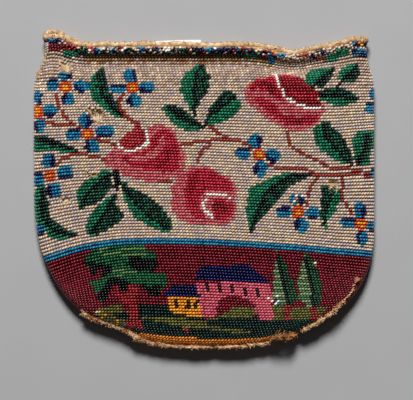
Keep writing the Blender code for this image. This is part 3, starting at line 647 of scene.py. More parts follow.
# %% Landscape: fields in drawing order, then lines
LANDSCAPE_FIELDS = (
    ("olive", [(92, 312), (105, 306.5), (123, 303.5), (123, 312), (128, 322), (118, 330), (104, 322)]),
    ("ground_dark", [(110, 312), (128, 311.5), (128, 318), (116, 318)]),
    ("ground_dark", [(136, 304), (170, 304), (205, 316), (206, 330), (130, 330), (134, 318)]),
    ("olive", [(142, 317), (170, 317), (205, 320), (214, 316), (222, 310), (232, 306), (254, 306.5),
               (260, 315), (240, 318), (216, 320), (206, 330), (176, 326), (160, 321), (142, 320)]),
    ("ground_dark", [(206, 320), (216, 319), (240, 317), (272, 320), (310, 319), (314, 322), (296, 331),
                     (206, 330)]),
    ("olive", [(272, 305), (328, 307), (318, 317), (310, 320), (272, 321)]),
    ("maroon", [(288, 303.5), (310, 303.5), (310, 308), (288, 308)]),
    ("ground_dark", [(128, 327), (206, 329), (296, 330), (276, 341), (200, 338), (134, 333)]),
    ("hem", [(130, 332), (150, 333), (200, 338), (230, 338.5), (276, 336.5), (276, 352), (128, 352)]),
    ("tree_green", [(91, 252), (97, 247), (112, 247), (124, 245), (143, 245), (148, 250), (155, 253),
                    (157, 262), (153, 268), (150, 272), (160, 272), (167, 274), (167.5, 283), (163, 288),
                    (160, 296), (151, 296), (147, 288), (136, 283), (127, 290), (120, 289), (119, 284),
                    (113, 283), (110, 293), (105, 301), (100, 301), (96, 292), (91, 284), (91, 280),
                    (102, 279), (103, 275), (93, 275), (91, 269), (85, 266), (83.5, 258)]),
    ("black", [(83, 261), (92, 262), (100, 263), (112, 265), (112, 271), (106, 276), (93, 276), (90, 268)]),
    ("maroon", [(98, 269), (103, 269), (103, 274), (98, 274)]),
    ("black", [(128, 258), (136, 256), (144, 259), (158, 257), (158, 266), (152, 272), (146, 269),
               (140, 273), (133, 270), (128, 264)]),
    ("black", [(103, 288), (108, 280), (114, 278), (124, 279), (131, 282), (130, 290), (120, 289),
               (114, 284), (110, 293), (105, 301), (97, 300), (98, 294)]),
    ("black", [(140, 284), (150, 286), (161, 285), (160, 296), (151, 297), (146, 290)]),
    ("tree_light", [(97, 248), (107, 248), (112, 252), (130, 245), (146, 247), (148, 254), (134, 256),
                    (120, 258), (104, 257)]),
    ("tree_light", [(108, 275), (114, 269), (124, 267), (137, 270), (134, 276), (118, 276)]),
    ("trunk", [(128.5, 283), (137, 283), (138, 304), (140, 318), (144, 328), (124, 328), (128, 318),
               (127, 304)]),
    ("trunk", [(112, 285), (116, 284), (122, 294), (128, 297), (128, 306), (122, 300)]),
    ("pink", [(195.5, 281), (271, 284), (273, 321), (259, 321), (254, 307), (234, 305.5), (224, 313),
              (215, 318), (202, 318)]),
    ("maroon", [(215.5, 318), (216, 306), (222, 298), (234, 295), (247, 298.5), (257, 307), (254, 307.5),
                (234, 306), (224, 313)]),
    ("navy", [(192.5, 280.5), (202, 264), (251, 266), (271, 284.5)]),
    ("yellow", [(167, 296), (200, 297.5), (202, 316), (172.5, 315)]),
    ("navy", [(163.5, 296), (171, 284.5), (197, 285), (200, 297)]),
    ("cypress_light", [(276, 249), (274, 268), (272, 295), (277.5, 303.5), (288, 304), (283.6, 283),
                       (278, 262)]),
    ("cypress_dark", [(277, 251), (285, 263), (291, 278), (297, 296), (295.5, 303), (288.5, 304),
                      (283.6, 283)]),
    ("cypress_light", [(305, 250), (300.5, 266), (297, 283), (298, 298.5), (309, 308), (314, 308),
                       (310, 284)]),
    ("cypress_dark", [(306, 252), (315, 265), (319, 278), (322.5, 296), (320, 303), (313.5, 308),
                      (310, 284)]),
    ("trunk", [(284, 304), (290.5, 304), (290.5, 321), (284, 321)]),
    ("trunk", [(310.5, 308), (317, 308), (317, 319), (310.5, 319)]),
)
LANDSCAPE_LINES = (
    ("black", [(277, 256), (280, 268), (284, 284), (288.5, 303)]),
    ("black", [(306, 258), (308, 270), (310.5, 284), (313.5, 306)]),
    ("olive", [(205, 326), (218, 326.5)]),
    ("olive", [(214, 330.5), (248, 331)]),
    ("trunk", [(184, 330.5), (187, 331)]),
)
WINDOWS = (
    (207.4, 288.2), (219.9, 288.8), (232.6, 289.6), (245.2, 290.6), (258.2, 291.4), (177.0, 303.0),
    (187.8, 303.8), (196.4, 304.4),
)
WINDOW_HALF_WIDTH, WINDOW_HALF_HEIGHT = 1.6, 4.2
STRIPE_PITCH = 5.8  # two rows
STRIPED = {"tree_light": "tree_green", "cypress_light": "cypress_middle", "trunk": "rose_deep"}
BAND_LOW, BAND_HIGH = 45.9 * MM, 48.6 * MM


def draw_landscape(x, y, row, chosen):
    chosen[row < BAND_LOW] = "maroon"
    below = row < BAND_LOW
    for name, outline in LANDSCAPE_FIELDS:
        chosen[within(outline, x, y) & below] = name
    for name, line in LANDSCAPE_LINES:
        chosen[along(line, x, y, LINE_REACH) & below] = name
    every_other = (y % STRIPE_PITCH) < STRIPE_PITCH / 2
    for name, between_rows in STRIPED.items():
        chosen[every_other & (chosen == name) & below] = between_rows
    for middle_x, middle_y in WINDOWS:
        window = (np.abs(x - middle_x) < WINDOW_HALF_WIDTH) & (np.abs(y - middle_y) < WINDOW_HALF_HEIGHT)
        chosen[window] = "black"
    chosen[(row >= BAND_LOW) & (row < BAND_HIGH)] = "turquoise"


# %% [markdown]
# ### The roll at the mouth
#
# The rolled edge shows the top rows from behind, with the tips of motifs in every colour. Below it, in
# the groove, the beads are painted brown and darkest at the top: painted shade of the roll, with some dirt.
# For some way below that, ivory beads are painted darker: painted shade under the roll.

# %% Spots of colour on the roll, as boxes: name, left, right, top, bottom
ROLL_SPOTS = (
    ("navy", 45, 61, 37, 43), ("turquoise", 49, 57, 37, 41), ("maroon", 48, 71, 44, 50),
    ("rose_deep", 56, 78, 46, 49), ("leaf_green", 64, 76, 50, 57), ("leaf_dark", 76, 88, 48, 56),
    ("navy", 94, 98, 47, 56), ("turquoise", 98, 101, 48, 52), ("navy", 105, 109, 46, 50),
    ("turquoise", 112, 116, 50, 54), ("rose", 121, 124, 46, 50), ("black", 128, 134, 48, 52),
    ("turquoise", 136, 141, 47, 50), ("navy", 143, 149, 48, 52), ("rose", 160, 162, 48, 51),
    ("white", 163, 170, 48, 51), ("leaf_dark", 182, 190, 49, 54), ("navy", 194, 203, 48, 52),
    ("turquoise", 205, 212, 48, 51), ("navy", 215, 230, 47, 52), ("rose_deep", 240, 246, 47, 50),
    ("leaf_dark", 233, 249, 54, 58), ("leaf_green", 247, 258, 53, 59), ("navy", 267, 271, 49, 53),
    ("turquoise", 268, 273, 53, 64), ("yellow", 272, 276, 50, 54), ("turquoise", 276, 286, 50, 57),
    ("navy", 279, 283, 48, 52), ("stem", 300, 308, 53, 57), ("navy", 310, 314, 54, 58),
    ("navy", 315, 319, 49, 53), ("navy", 321, 325, 51, 55), ("stem", 316, 326, 57, 61),
    ("stem", 326, 330, 52, 57), ("stem", 330, 335, 43, 49), ("leaf_green", 326, 337, 54, 62),
    ("leaf_green", 335, 348, 49, 57), ("turquoise", 352, 372, 38, 57), ("navy", 350, 354, 37, 40),
    ("yellow", 359, 363, 43, 47), ("navy", 363, 368, 41, 46), ("navy", 355, 358, 42, 46),
    ("ivory", 355, 372, 47, 49), ("olive", 356, 360, 54, 58),
)
CORNER_MIX = (("navy", 0.3), ("ivory", 0.48), ("yellow", 0.56))
CORNER_LEFT, CORNER_LOW = 350, 57
# Rows over which the painted shade under the roll fades in towards the mouth.
ROLL_SHADE_FROM, ROLL_SHADE_TO = BAG_HEIGHT - 20.0 * MM, BAG_HEIGHT - 4.0 * MM
ROLL_MIX = ("ivory", "white", "navy", "turquoise", "black", "rose", "leaf_dark", "ivory")
ROLL_ROW = BAG_HEIGHT - 2.5 * MM
# Painted shade under the roll: deepest in the top rows of the groove, faded out by the lower row.
GROOVE_DEEP_SHADE_ROW = BAG_HEIGHT - 4.4 * MM
GROOVE_SHADE_LOW_ROW = BAG_HEIGHT - 8.0 * MM
GROOVE_LEFT, GROOVE_RIGHT = 84.0, 275.0


def draw_roll(x, y, row, chosen):
    picks = np.random.default_rng(5).random(len(x))
    middle = (x > GROOVE_LEFT) & (x < GROOVE_RIGHT) & (chosen == "ivory")
    # Painted shade: ivory beads in the groove turn brown, more of them up towards the roll, darkest at the
    # top.
    shade_fading = (row - GROOVE_SHADE_LOW_ROW) / (GROOVE_DEEP_SHADE_ROW - GROOVE_SHADE_LOW_ROW)
    chosen[middle & (picks < shade_fading)] = "groove"
    chosen[middle & (row > GROOVE_DEEP_SHADE_ROW)] = "groove_dark"
    for number, name in enumerate(ROLL_MIX):
        share = (picks * len(ROLL_MIX)).astype(int) == number
        chosen[middle & (row > ROLL_ROW) & share] = name
    for name, left, right, top, bottom in ROLL_SPOTS:
        chosen[(x > left) & (x < right) & (y > top) & (y < bottom)] = name
    corner = (x > CORNER_LEFT) & (y < CORNER_LOW) & (chosen == "turquoise")
    for name, share in reversed(CORNER_MIX):
        chosen[corner & (picks < share)] = name
    # Painted shade: towards the roll, more and more ivory beads take the darker ivory.
    roll_shaded = (picks < (row - ROLL_SHADE_FROM) / (ROLL_SHADE_TO - ROLL_SHADE_FROM)) & (row < ROLL_ROW)
    chosen[roll_shaded & (chosen == "ivory")] = "ivory_soiled"


# Single beads of another colour: name and place on the chart
ODD_BEADS = (
    ("navy", 92, 123), ("orange_red", 374, 108), ("white", 40, 85), ("white", 43, 89), ("white", 40, 90),
    ("white", 269, 297), ("white", 272, 300), ("white", 276, 296), ("white", 278, 300),
    ("turquoise", 277, 303), ("white", 274, 304), ("white", 315, 262), ("orange_red", 316, 265),
    ("white", 295, 196), ("yellow", 297, 200), ("white", 293, 201), ("yellow", 298, 204),
    ("white", 301, 197), ("yellow", 109, 47), ("orange_red", 103, 47), ("yellow", 99, 311),
    ("yellow", 106, 315), ("hem", 102, 318), ("turquoise", 109, 319), ("yellow", 113, 316),
    ("hem", 112, 323), ("yellow", 118, 321), ("ivory", 96, 312), ("turquoise", 121, 325),
    ("yellow", 122, 330), ("ivory", 107, 322), ("leaf_green", 115, 326), ("tree_light", 104, 312),
    ("tree_light", 119, 328),
)
ODD_REACH = 1.7


def design(points, row):
    """The colour of each bead."""
    x, y = chart_place(points)
    chosen = np.full(len(x), "ivory", dtype="U16")
    draw_leaves(x, y, chosen)
    draw_flowers(x, y, chosen)
    draw_landscape(x, y, row, chosen)
    draw_roll(x, y, row, chosen)
    for name, middle_x, middle_y in ODD_BEADS:
        chosen[np.hypot(x - middle_x, y - middle_y) < ODD_REACH] = name
    return chosen


print("Leaves:", len(LEAVES), "fields of the roses:", len(ROSE_FIELDS), "flowers:", len(BLUE_FLOWERS))

# %% [markdown]
# ## Where the beads go
#
# Beads sit on a lattice that follows the wall: rows a bead apart up the bag, and in each row one bead
# per stitch, measured along the curve so that they keep their distance round the folds. Knitting of this
# kind leans, so each row starts a little further to the left than the one below it.

# %% The lattice
ROW_PITCH = 1.333 * MM
STITCH_PITCH = 1.403 * MM
COLUMN_LEAN = math.radians(11.0)
BEAD_DEPTH = 0.72 * MM
ROUND_STEPS = 720
SLOPE_STEP = 0.4 * MM

# The rows of the front drift off the rings by this much: (place across, drift)
ROW_DRIFT = (
    (-78.5, 0.9), (-73, 1.0), (-60, 1.5), (-41, 1.5), (-26, 0.8), (0, 0.0), (18, -0.8), (33, -1.3),
    (50, -1.3), (61, -0.9), (72, 0.2), (78.5, 0.9),
)
DRIFT_FADES = (5.0 * MM, 30.0 * MM, 90.0 * MM, 126.0 * MM)


def drifted(angle, row):
    """The ring that a knitted row follows at an angle."""
    table = np.array(ROW_DRIFT) * MM
    across = np.sign(np.cos(angle)) * np.abs(np.cos(angle)) ** CORNER_SHARE * BAG_WIDTH / 2
    front = np.interp(across, table[:, 0], table[:, 1])
    back = table[0, 1] * np.abs(across) / (BAG_WIDTH / 2)
    low_from, low_to, high_from, high_to = DRIFT_FADES
    fade = smooth_step(row, low_from, low_to) * (1 - smooth_step(row, high_from, high_to))
    return row + np.where(np.sin(angle) >= 0, front, back) * fade


def stitch_angles(row, shift):
    """Angles of the stitches of one row, a stitch apart along the wall, from the middle of the front."""
    turn = np.linspace(-math.pi, math.pi, ROUND_STEPS + 1)
    angle = math.pi / 2 - turn
    points = bag_point(angle, drifted(angle, row), BEAD_DEPTH)
    steps = np.linalg.norm(np.diff(points, axis=0), axis=1)
    run = np.concatenate([[0.0], np.cumsum(steps)])
    run = run - run[ROUND_STEPS // 2]
    first = math.ceil((run[0] + STITCH_PITCH / 2 - shift) / STITCH_PITCH)
    last = math.floor((run[-1] - STITCH_PITCH / 2 - shift) / STITCH_PITCH)
    places = np.arange(first, last + 1) * STITCH_PITCH + shift
    return math.pi / 2 - np.interp(places, run, turn)


def knitted_rows():
    """Rows a bead apart along the wall, up the middle of the front."""
    fine = np.linspace(0.0, BAG_HEIGHT, ROUND_STEPS)
    steps = np.linalg.norm(np.diff(bag_point(math.pi / 2, fine), axis=0), axis=1)
    run = np.concatenate([[0.0], np.cumsum(steps)])
    places = np.arange(ROW_PITCH / 2, run[-1], ROW_PITCH)
    return np.interp(places, run, fine), places


rows, row_places = knitted_rows()
shifts = -math.tan(COLUMN_LEAN) * row_places
stitches = [stitch_angles(row, shift) for row, shift in zip(rows, shifts)]
bead_angle = np.concatenate(stitches)
bead_row = np.concatenate([np.full(len(angles), row) for row, angles in zip(rows, stitches)])
print("Rows:", len(rows), "stitches:", len(bead_angle))


# %% Each bead's place and directions
def unit(vectors):
    return vectors / np.linalg.norm(vectors, axis=1, keepdims=True)


def wall_frame(angle, row, depth):
    """Places at a depth in the wall, with the directions along the row, up the column and outward."""
    turn = SLOPE_STEP / (BAG_WIDTH / 2)
    here = bag_point(angle, drifted(angle, row))
    beside = bag_point(angle - turn, drifted(angle - turn, row))
    before = bag_point(angle + turn, drifted(angle + turn, row))
    above = bag_point(angle, drifted(angle, row + SLOPE_STEP))
    below = bag_point(angle, drifted(angle, row - SLOPE_STEP))
    along_row = unit(beside - before)
    outward = unit(np.cross(along_row, unit(above - below)))
    return here - outward * depth, along_row, np.cross(outward, along_row), outward


place, along_row, up_column, outward = wall_frame(bead_angle, bead_row, BEAD_DEPTH)
on_front = np.sin(bead_angle) >= 0
mirrored = place * np.where(on_front[:, None], 1.0, np.array([-1.0, 1.0, 1.0]))
bead_colour = design(mirrored, bead_row)


# %% [markdown]
# Where beads are lost, their places stay empty. On the roll the knitting is disturbed: beads are pushed
# aside, turned, and some are missing.

# %% Losses and disturbed beads
chance = np.random.default_rng(7)
LOSSES = (
    [(56.5, 63.5), (60, 65.5), (62.5, 62), (64.5, 65), (68, 62), (70, 65.5), (74, 65.5), (70.5, 68.5),
     (70, 73), (66, 74), (62, 73), (60, 69)],
    [(86, 109), (90, 107), (93, 109), (96, 106.5), (99, 109), (103, 110), (105, 114), (104, 119),
     (101, 121), (99.5, 125), (96, 124.5), (93, 121.5), (91, 117), (88, 113.5)],
    [(84, 171), (89, 172.5), (92, 174), (97, 172.5), (100, 173.5), (97.5, 176.5), (93, 179), (89, 177),
     (86, 174.5)],
    [(59, 197), (63, 198.5), (66, 196.5), (70, 198.5), (73.5, 197.5), (70, 201), (66, 202.5), (61, 201)],
    [(328, 181), (332, 179), (337, 180.5), (340, 183), (337, 187), (332, 188.5), (329, 186)],
)
GROUND_LOSS_SHARE = 0.8  # the silk is lost from less than the beads are
MISSING_ON_ROLL = 0.06
WANDER, UNREST_BELOW_ROLL = 0.22 * MM, 0.16


def in_a_loss(points, share):
    """Which places lie where the front is lost, with each outline drawn in to a share of its size."""
    x, y = chart_place(points)
    found = np.zeros(len(points), bool)
    for outline in LOSSES:
        middle_x, middle_y = np.mean(outline, axis=0)
        found |= within(outline, middle_x + (x - middle_x) / share, middle_y + (y - middle_y) / share)
    return found


on_roll = bead_row > ROLL_ROW
kept = ~(in_a_loss(place, 1.0) & on_front)
kept &= ~(on_roll & (chance.random(len(place)) < MISSING_ON_ROLL))
unrest = np.where(on_roll, 1.0, UNREST_BELOW_ROLL)
wander = chance.normal(0.0, WANDER, (len(place), 2)) * unrest[:, None]
place = place + along_row * wander[:, :1] + up_column * wander[:, 1:]
print("Beads kept:", int(kept.sum()), "lost:", int((~kept).sum()))

# %% [markdown]
# ## One bead, copied
#
# A bead is a small barrel, wider than it is long, lying with its hole across the row. It starts from a
# UV sphere with few faces, because there are so many copies, and shading smooths it. Copying thousands
# of beads one by one with operators would take minutes, so the copies are placed with one array
# multiplication per colour and given to the mesh in bulk.

# %% The bead
BEAD_WIDTH = 1.52 * MM
BEAD_LENGTH = 1.06 * MM
BEAD_SEGMENTS = 8
BARREL_SHARE = 0.62  # how far towards the ends the barrel keeps its width
BEAD_LEAN = math.radians(118.0)  # the hole's direction from the row's


def one_bead():
    """A barrel round the Z axis, one unit wide and one unit long, as vertices and faces."""
    bead = bmesh.new()
    bmesh.ops.create_uvsphere(bead, u_segments=BEAD_SEGMENTS, v_segments=3, radius=0.5)
    for vert in bead.verts:
        round_the_hole = math.hypot(vert.co.x, vert.co.y)
        if round_the_hole > 1e-6:
            vert.co.x *= 0.5 / round_the_hole
            vert.co.y *= 0.5 / round_the_hole
            vert.co.z = math.copysign(0.5 * BARREL_SHARE, vert.co.z)
    bmesh.ops.triangulate(bead, faces=bead.faces)
    bmesh.ops.recalc_face_normals(bead, faces=bead.faces)
    bead.verts.ensure_lookup_table()
    verts = np.array([vert.co[:] for vert in bead.verts])
    faces = np.array([[vert.index for vert in face.verts] for face in bead.faces])
    bead.free()
    return verts, faces


bead_verts, bead_faces = one_bead()
print("Faces of a bead:", len(bead_faces))


# %% Copies of the bead as one mesh
def bead_piece(name, which, glass):
    """One piece with a copy of the bead at each of the chosen places."""
    lean = BEAD_LEAN + lean_wander[which]
    hole = along_row[which] * np.cos(lean)[:, None] + up_column[which] * np.sin(lean)[:, None]
    hole = unit(hole + outward[which] * tip_wander[which][:, None])
    wide = unit(np.cross(outward[which], hole))
    high = np.cross(hole, wide)
    size = bead_size[which][:, None]
    axes = np.stack([wide * size * BEAD_WIDTH, high * size * BEAD_WIDTH, hole * size * BEAD_LENGTH], axis=1)
    verts = np.einsum("vk,bkc->bvc", bead_verts, axes) + place[which][:, None, :]
    count = len(which)
    faces = bead_faces[None, :, :] + (np.arange(count) * len(bead_verts))[:, None, None]
    mesh = bpy.data.meshes.new(name)
    mesh.vertices.add(count * len(bead_verts))
    mesh.vertices.foreach_set("co", verts.astype(np.float32).ravel())
    mesh.loops.add(faces.size)
    mesh.loops.foreach_set("vertex_index", faces.astype(np.int32).ravel())
    mesh.polygons.add(faces.shape[0] * faces.shape[1])
    mesh.polygons.foreach_set("loop_start", np.arange(0, faces.size, 3, dtype=np.int32))
    mesh.polygons.foreach_set("use_smooth", np.ones(faces.shape[0] * faces.shape[1], bool))
    mesh.materials.append(glass)
    mesh.update(calc_edges=True)
    mesh.validate()
    return add_piece(name, mesh)


def add_piece(name, mesh):
    """Put a finished mesh in the scene, on the bag."""
    piece = bpy.data.objects.new(name, mesh)
    bpy.context.scene.collection.objects.link(piece)
    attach(piece, "root")
    return piece


# How far the beads turn and tip in their places, how much more on the roll, and how their sizes vary
LEAN_WANDER, ROLL_LEAN_TIMES = math.radians(5.0), 6.0
TIP_WANDER, ROLL_TIP_TIMES = 0.08, 4.0
SIZE_WANDER, SIZE_LIMIT = 0.035, 0.08
IVORY_SIZE, COLOURED_SIZE = 0.97, 1.02
lean_wander = chance.normal(0.0, LEAN_WANDER, len(place)) * np.where(on_roll, ROLL_LEAN_TIMES, 1.0)
tip_wander = chance.normal(0.0, TIP_WANDER, len(place)) * np.where(on_roll, ROLL_TIP_TIMES, 1.0)
bead_size = 1.0 + np.clip(chance.normal(0.0, SIZE_WANDER, len(place)), -SIZE_LIMIT, SIZE_LIMIT)
bead_size *= np.where(np.char.startswith(bead_colour, "ivory"), IVORY_SIZE, COLOURED_SIZE)
shade_draw = chance.random(len(place))
for name, tones in GLASS.items():
    for number, tone in enumerate(tones):
        drawn = (shade_draw * len(tones)).astype(int) == number
        which = np.flatnonzero(kept & (bead_colour == name) & drawn)
        if len(which):
            piece_name = f"beads_{name}_{number + 1}"
            bead_piece(piece_name, which, bead_glass(piece_name, tone))
            print(piece_name, len(which))

# %% [markdown]
# ## The knitted ground
#
# Under the beads is the silk that they are knitted on. It shows as dark gaps between the rows, and bare
# at the mouth. Under the beads its colour is painted light and shade: a darkened copy of each bead's
# colour, for the light through the glass and the shade between the beads. It is a grid wrapped round the
# bag, open where the beads are lost, and Solidify gives it its wall and closes its edges.

# %% A grid wrapped on the rings
MERGE_REACH = 0.002 * MM
AT_FLOOR = 0.001  # below this share of the way up, front and back are joined


def wrapped_grid(columns, levels, place_at, glass_light_at=None):
    """A grid whose corners are moved by place_at(round share, up share), closed round the bag."""
    shape = bmesh.new()
    bmesh.ops.create_grid(shape, x_segments=columns, y_segments=levels, size=0.5)
    layer = shape.verts.layers.float_color.new("glass_light") if glass_light_at else None
    verts = list(shape.verts)
    shares = np.array([(vert.co.x + 0.5, vert.co.y + 0.5) for vert in verts])
    points = place_at(shares[:, 0], shares[:, 1])
    for vert, point in zip(verts, points):
        vert.co = point
    if glass_light_at:
        for vert, glass_light in zip(verts, glass_light_at(shares[:, 0], shares[:, 1], points)):
            vert[layer] = glass_light
    bmesh.ops.remove_doubles(shape, verts=shape.verts, dist=MERGE_REACH)
    bmesh.ops.dissolve_degenerate(shape, edges=shape.edges, dist=MERGE_REACH)
    return shape


def finished(name, shape, material):
    """Turn a bmesh into a piece of the bag, with its faces turned outward."""
    bmesh.ops.recalc_face_normals(shape, faces=shape.faces)
    mesh = bpy.data.meshes.new(name)
    shape.to_mesh(mesh)
    shape.free()
    mesh.polygons.foreach_set("use_smooth", np.ones(len(mesh.polygons), bool))
    mesh.materials.append(material)
    return add_piece(name, mesh)


def give_wall(piece, thickness, offset):
    """Give a sheet its wall: inward from the sheet at an offset of -1, half to each side at 0."""
    wall = piece.modifiers.new("wall", "SOLIDIFY")
    wall.thickness = thickness
    wall.offset = offset


GROUND_DEPTH = 0.95 * MM
GROUND_WALL = COVER_WALL - GROUND_DEPTH
GROUND_TOP = BAG_HEIGHT + 1.2 * MM
BARE_ROW = BAG_HEIGHT - 0.6 * MM
# Painted light and shade: the share of a bead's colour painted on the silk beside it, for the light through
# the glass and the shade between the beads.
GLASS_LIGHT_SHARE = {"ivory": 0.8, "ivory_soiled": 0.66}  # how bright the silk is under the glass, beside the glass
OTHER_GLASS_LIGHT_SHARE = 0.26
BARE_SILK = (196, 158, 112)
# How dark between the strands and how bright on them the painted glass light is.
SILK_SHADES = (0.5, 1.5)  # the dye between the strands and on them
GROUND_GRID = (220, 98)


def ground_place(round_share, up_share):
    """The outer face of the knitted ground: sewn shut at the bottom, open at the mouth."""
    angle = 2 * math.pi * round_share
    row = GROUND_TOP * up_share
    points = wall_frame(angle, row, GROUND_DEPTH)[0]
    mirror = wall_frame(-angle, row, GROUND_DEPTH)[0]
    return np.where((up_share < AT_FLOOR)[:, None], (points + mirror) / 2, points)


def ground_glass_light(round_share, up_share, points):
    """Painted light and shade: the silk under a bead gets a darkened copy of its colour. Bare at the mouth.
    """
    on_front = (round_share < 0.5)[:, None]
    row = GROUND_TOP * up_share
    names = design(np.where(on_front, points, points * np.array([-1.0, 1.0, 1.0])), row)
    glass_lights = np.ones((len(names), 4))
    # Painted light and shade: a darkened copy of each bead's glass colour.
    for name, tones in GLASS.items():
        glass_lights[names == name, :3] = np.array(colour(*tones[-1])[:3]) * GLASS_LIGHT_SHARE.get(name, OTHER_GLASS_LIGHT_SHARE)
    glass_lights[(row > BARE_ROW) | (in_a_loss(points, 1.0) & (round_share < 0.5))] = colour(*BARE_SILK)
    return glass_lights


silk = Finish("knitted_silk_ground", 0.85, 0.1)
silk_place = silk.place()
strands = silk.bands("Y", 240.0, 3.0, silk_place)
soiling = silk.noise(60.0, 3.0, silk_place)
glass_light = silk.node("ShaderNodeAttribute", {"attribute_name": "glass_light"}, output="Color")
darker, lighter = [
    silk.node("ShaderNodeVectorMath", {"operation": "SCALE"}, {0: glass_light, "Scale": share}, output="Vector")
    for share in SILK_SHADES
]
silk.feed("Base Color", silk.mix(strands * soiling, darker, lighter))
silk.bump(strands, 0.5, 0.2 * MM)

ground = wrapped_grid(*GROUND_GRID, ground_place, ground_glass_light)
centres = np.array([face.calc_center_median()[:] for face in ground.faces])
holes = in_a_loss(centres, GROUND_LOSS_SHARE) & (centres[:, 2] > SIDE_FOLD_HEIGHT)
lost_faces = [face for face, hole in zip(list(ground.faces), holes) if hole]
bmesh.ops.delete(ground, geom=lost_faces, context="FACES")
knitted_ground = finished("knitted_ground", ground, silk.material)
give_wall(knitted_ground, GROUND_WALL, -1.0)
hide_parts("beaded_cover")
print("Faces of the ground:", len(knitted_ground.data.polygons))

# %% [markdown]
# ## The lining
#
# A plain cotton bag hangs inside the cover. It shows where beads are lost and at the mouth. Like the
# part's own lining it is one closed wall, outside and inside, with its edge folded at the mouth.

# %% The lining
LINING_OUT = COVER_WALL + FIT_GAP
LINING_IN = LINING_OUT + LINING_WALL
LINING_FLOOR = SEAM_HEIGHT + FIT_GAP
LINING_MOUTH = BAG_HEIGHT - LINING_BELOW_MOUTH
LINING_GRID = (64, 96)
WEAVE_SCALE, WEAVE_WANDER = 700.0, 0.6
PATCH_CONTRAST, PATCH_SHIFT = 3.2, 1.1


def lining_place(round_share, up_share):
    """Up the outside over the first half of the grid, then down the inside."""
    angle = 2 * math.pi * round_share
    outside = up_share <= 0.5
    up = np.where(outside, up_share, 1.0 - up_share) * 2
    floor = np.where(outside, LINING_FLOOR, LINING_FLOOR + LINING_WALL)
    row = floor + (LINING_MOUTH - floor) * up
    points, mirror = [
        np.where(
            outside[:, None],
            bag_point(turn, row, LINING_OUT, inner=True),
            bag_point(turn, row, LINING_IN, inner=True),
        )
        for turn in (angle, -angle)
    ]
    return np.where((up < AT_FLOOR)[:, None], (points + mirror) / 2, points)


cotton = Finish("lining_cotton", 0.8, 0.2)
cotton_place = cotton.place()
warp, weft = [cotton.bands(direction, WEAVE_SCALE, WEAVE_WANDER, cotton_place) for direction in "XY"]
# Brown patches at random over the cream: partly stains, partly painted shade, which darkens the lining
# where it shows in the losses.
stains_and_hole_shade = cotton.noise(120.0, 4.0, cotton_place) * PATCH_CONTRAST - PATCH_SHIFT
cotton.feed("Base Color", cotton.mix(stains_and_hole_shade, colour(150, 116, 76), colour(246, 222, 182)))
cotton.bump(warp * 0.5 + weft * 0.5, 0.4, 0.1 * MM)

lining_shape = wrapped_grid(*LINING_GRID, lining_place)
lining = finished("lining_bag", lining_shape, cotton.material)
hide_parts("lining")
CLOTH_HEIGHT = BAG_HEIGHT + 1.0 * MM  # of the two panels of each bag, laid flat side by side
print("Faces of the lining:", len(lining.data.polygons))

# %% [markdown]
# ## The edging of the mouth
#
# The mouth ends in a few rows of bare knitting in cream silk, curled into a soft lumpy cord. It is a
# tube that follows the mouth. Its surface is raised into stitches, and it swells and thins on the way.

# %% The edging
EDGING_RADIUS = 1.2 * MM
EDGING_REST = 0.2 * MM
EDGING_STEPS = 900
EDGING_SIDES = 12
LUMP_SIZE = 0.3
LUMP_SHARE, STITCH_SHARE = 0.36, 0.5
STITCHES_ROUND, STITCH_TWIST = 236, 1.5
EDGING_REACH = 0.002  # share of the way round over which the edging's direction is taken
EDGING_WANDER = 0.3 * MM
MOTTLING_CONTRAST, MOTTLING_SHIFT = 2.4, 0.7
EAR_LOOP_PLACE, EAR_LOOP_RISE, EAR_LOOP_HALF_WIDTH = -69.5 * MM, 1.4 * MM, 5.0 * MM


def waves(share, counts, seed):
    """A wandering number that repeats round the mouth."""
    draw = np.random.default_rng(seed)
    return sum(
        draw.uniform(0.4, 1.0) * np.sin(2 * math.pi * (count * share + draw.random())) for count in counts
    )


def edging_line(share):
    """The middle of the edging, round the mouth."""
    angle = 2 * math.pi * share
    outer = bag_point(angle, BAG_HEIGHT)
    inner = bag_point(angle, BAG_HEIGHT, COVER_WALL, inner=True)
    middle = (outer + inner) / 2
    middle[:, 1] += EDGING_RADIUS + FIT_GAP
    on_back = np.sin(angle) < 0
    middle[:, 1] += EAR_LOOP_RISE * bell(middle[:, 0] - EAR_LOOP_PLACE, EAR_LOOP_HALF_WIDTH) * on_back
    middle[:, 1] += EDGING_WANDER * waves(share, (9, 15, 26, 38), 4) * 0.5
    middle[:, 2] += EDGING_WANDER * waves(share, (12, 21, 33), 6) * 0.5
    middle[:, 2] = np.maximum(middle[:, 2], EDGING_RADIUS + EDGING_REST)
    return middle


def edging_place(round_share, up_share):
    """A tube round the edging's line, with stitches and lumps."""
    here = edging_line(round_share)
    ahead = edging_line((round_share + EDGING_REACH) % 1.0)
    behind = edging_line((round_share - EDGING_REACH) % 1.0)
    forward = unit(ahead - behind)
    upward = unit(np.array([0.0, 0.0, 1.0]) - forward * forward[:, 2:])
    outward_side = np.cross(forward, upward)
    turn = 2 * math.pi * up_share
    stitch_turns = STITCHES_ROUND * round_share + STITCH_TWIST * up_share
    stitch = np.sin(2 * math.pi * stitch_turns) * np.cos(3 * turn)
    lumps = waves(round_share, (17, 29, 43, 71, 97, 131), 3) * LUMP_SHARE + STITCH_SHARE * stitch
    radius = EDGING_RADIUS * (1.0 + LUMP_SIZE * lumps)
    spread = outward_side * np.cos(turn)[:, None] + upward * np.sin(turn)[:, None]
    return here + spread * radius[:, None]


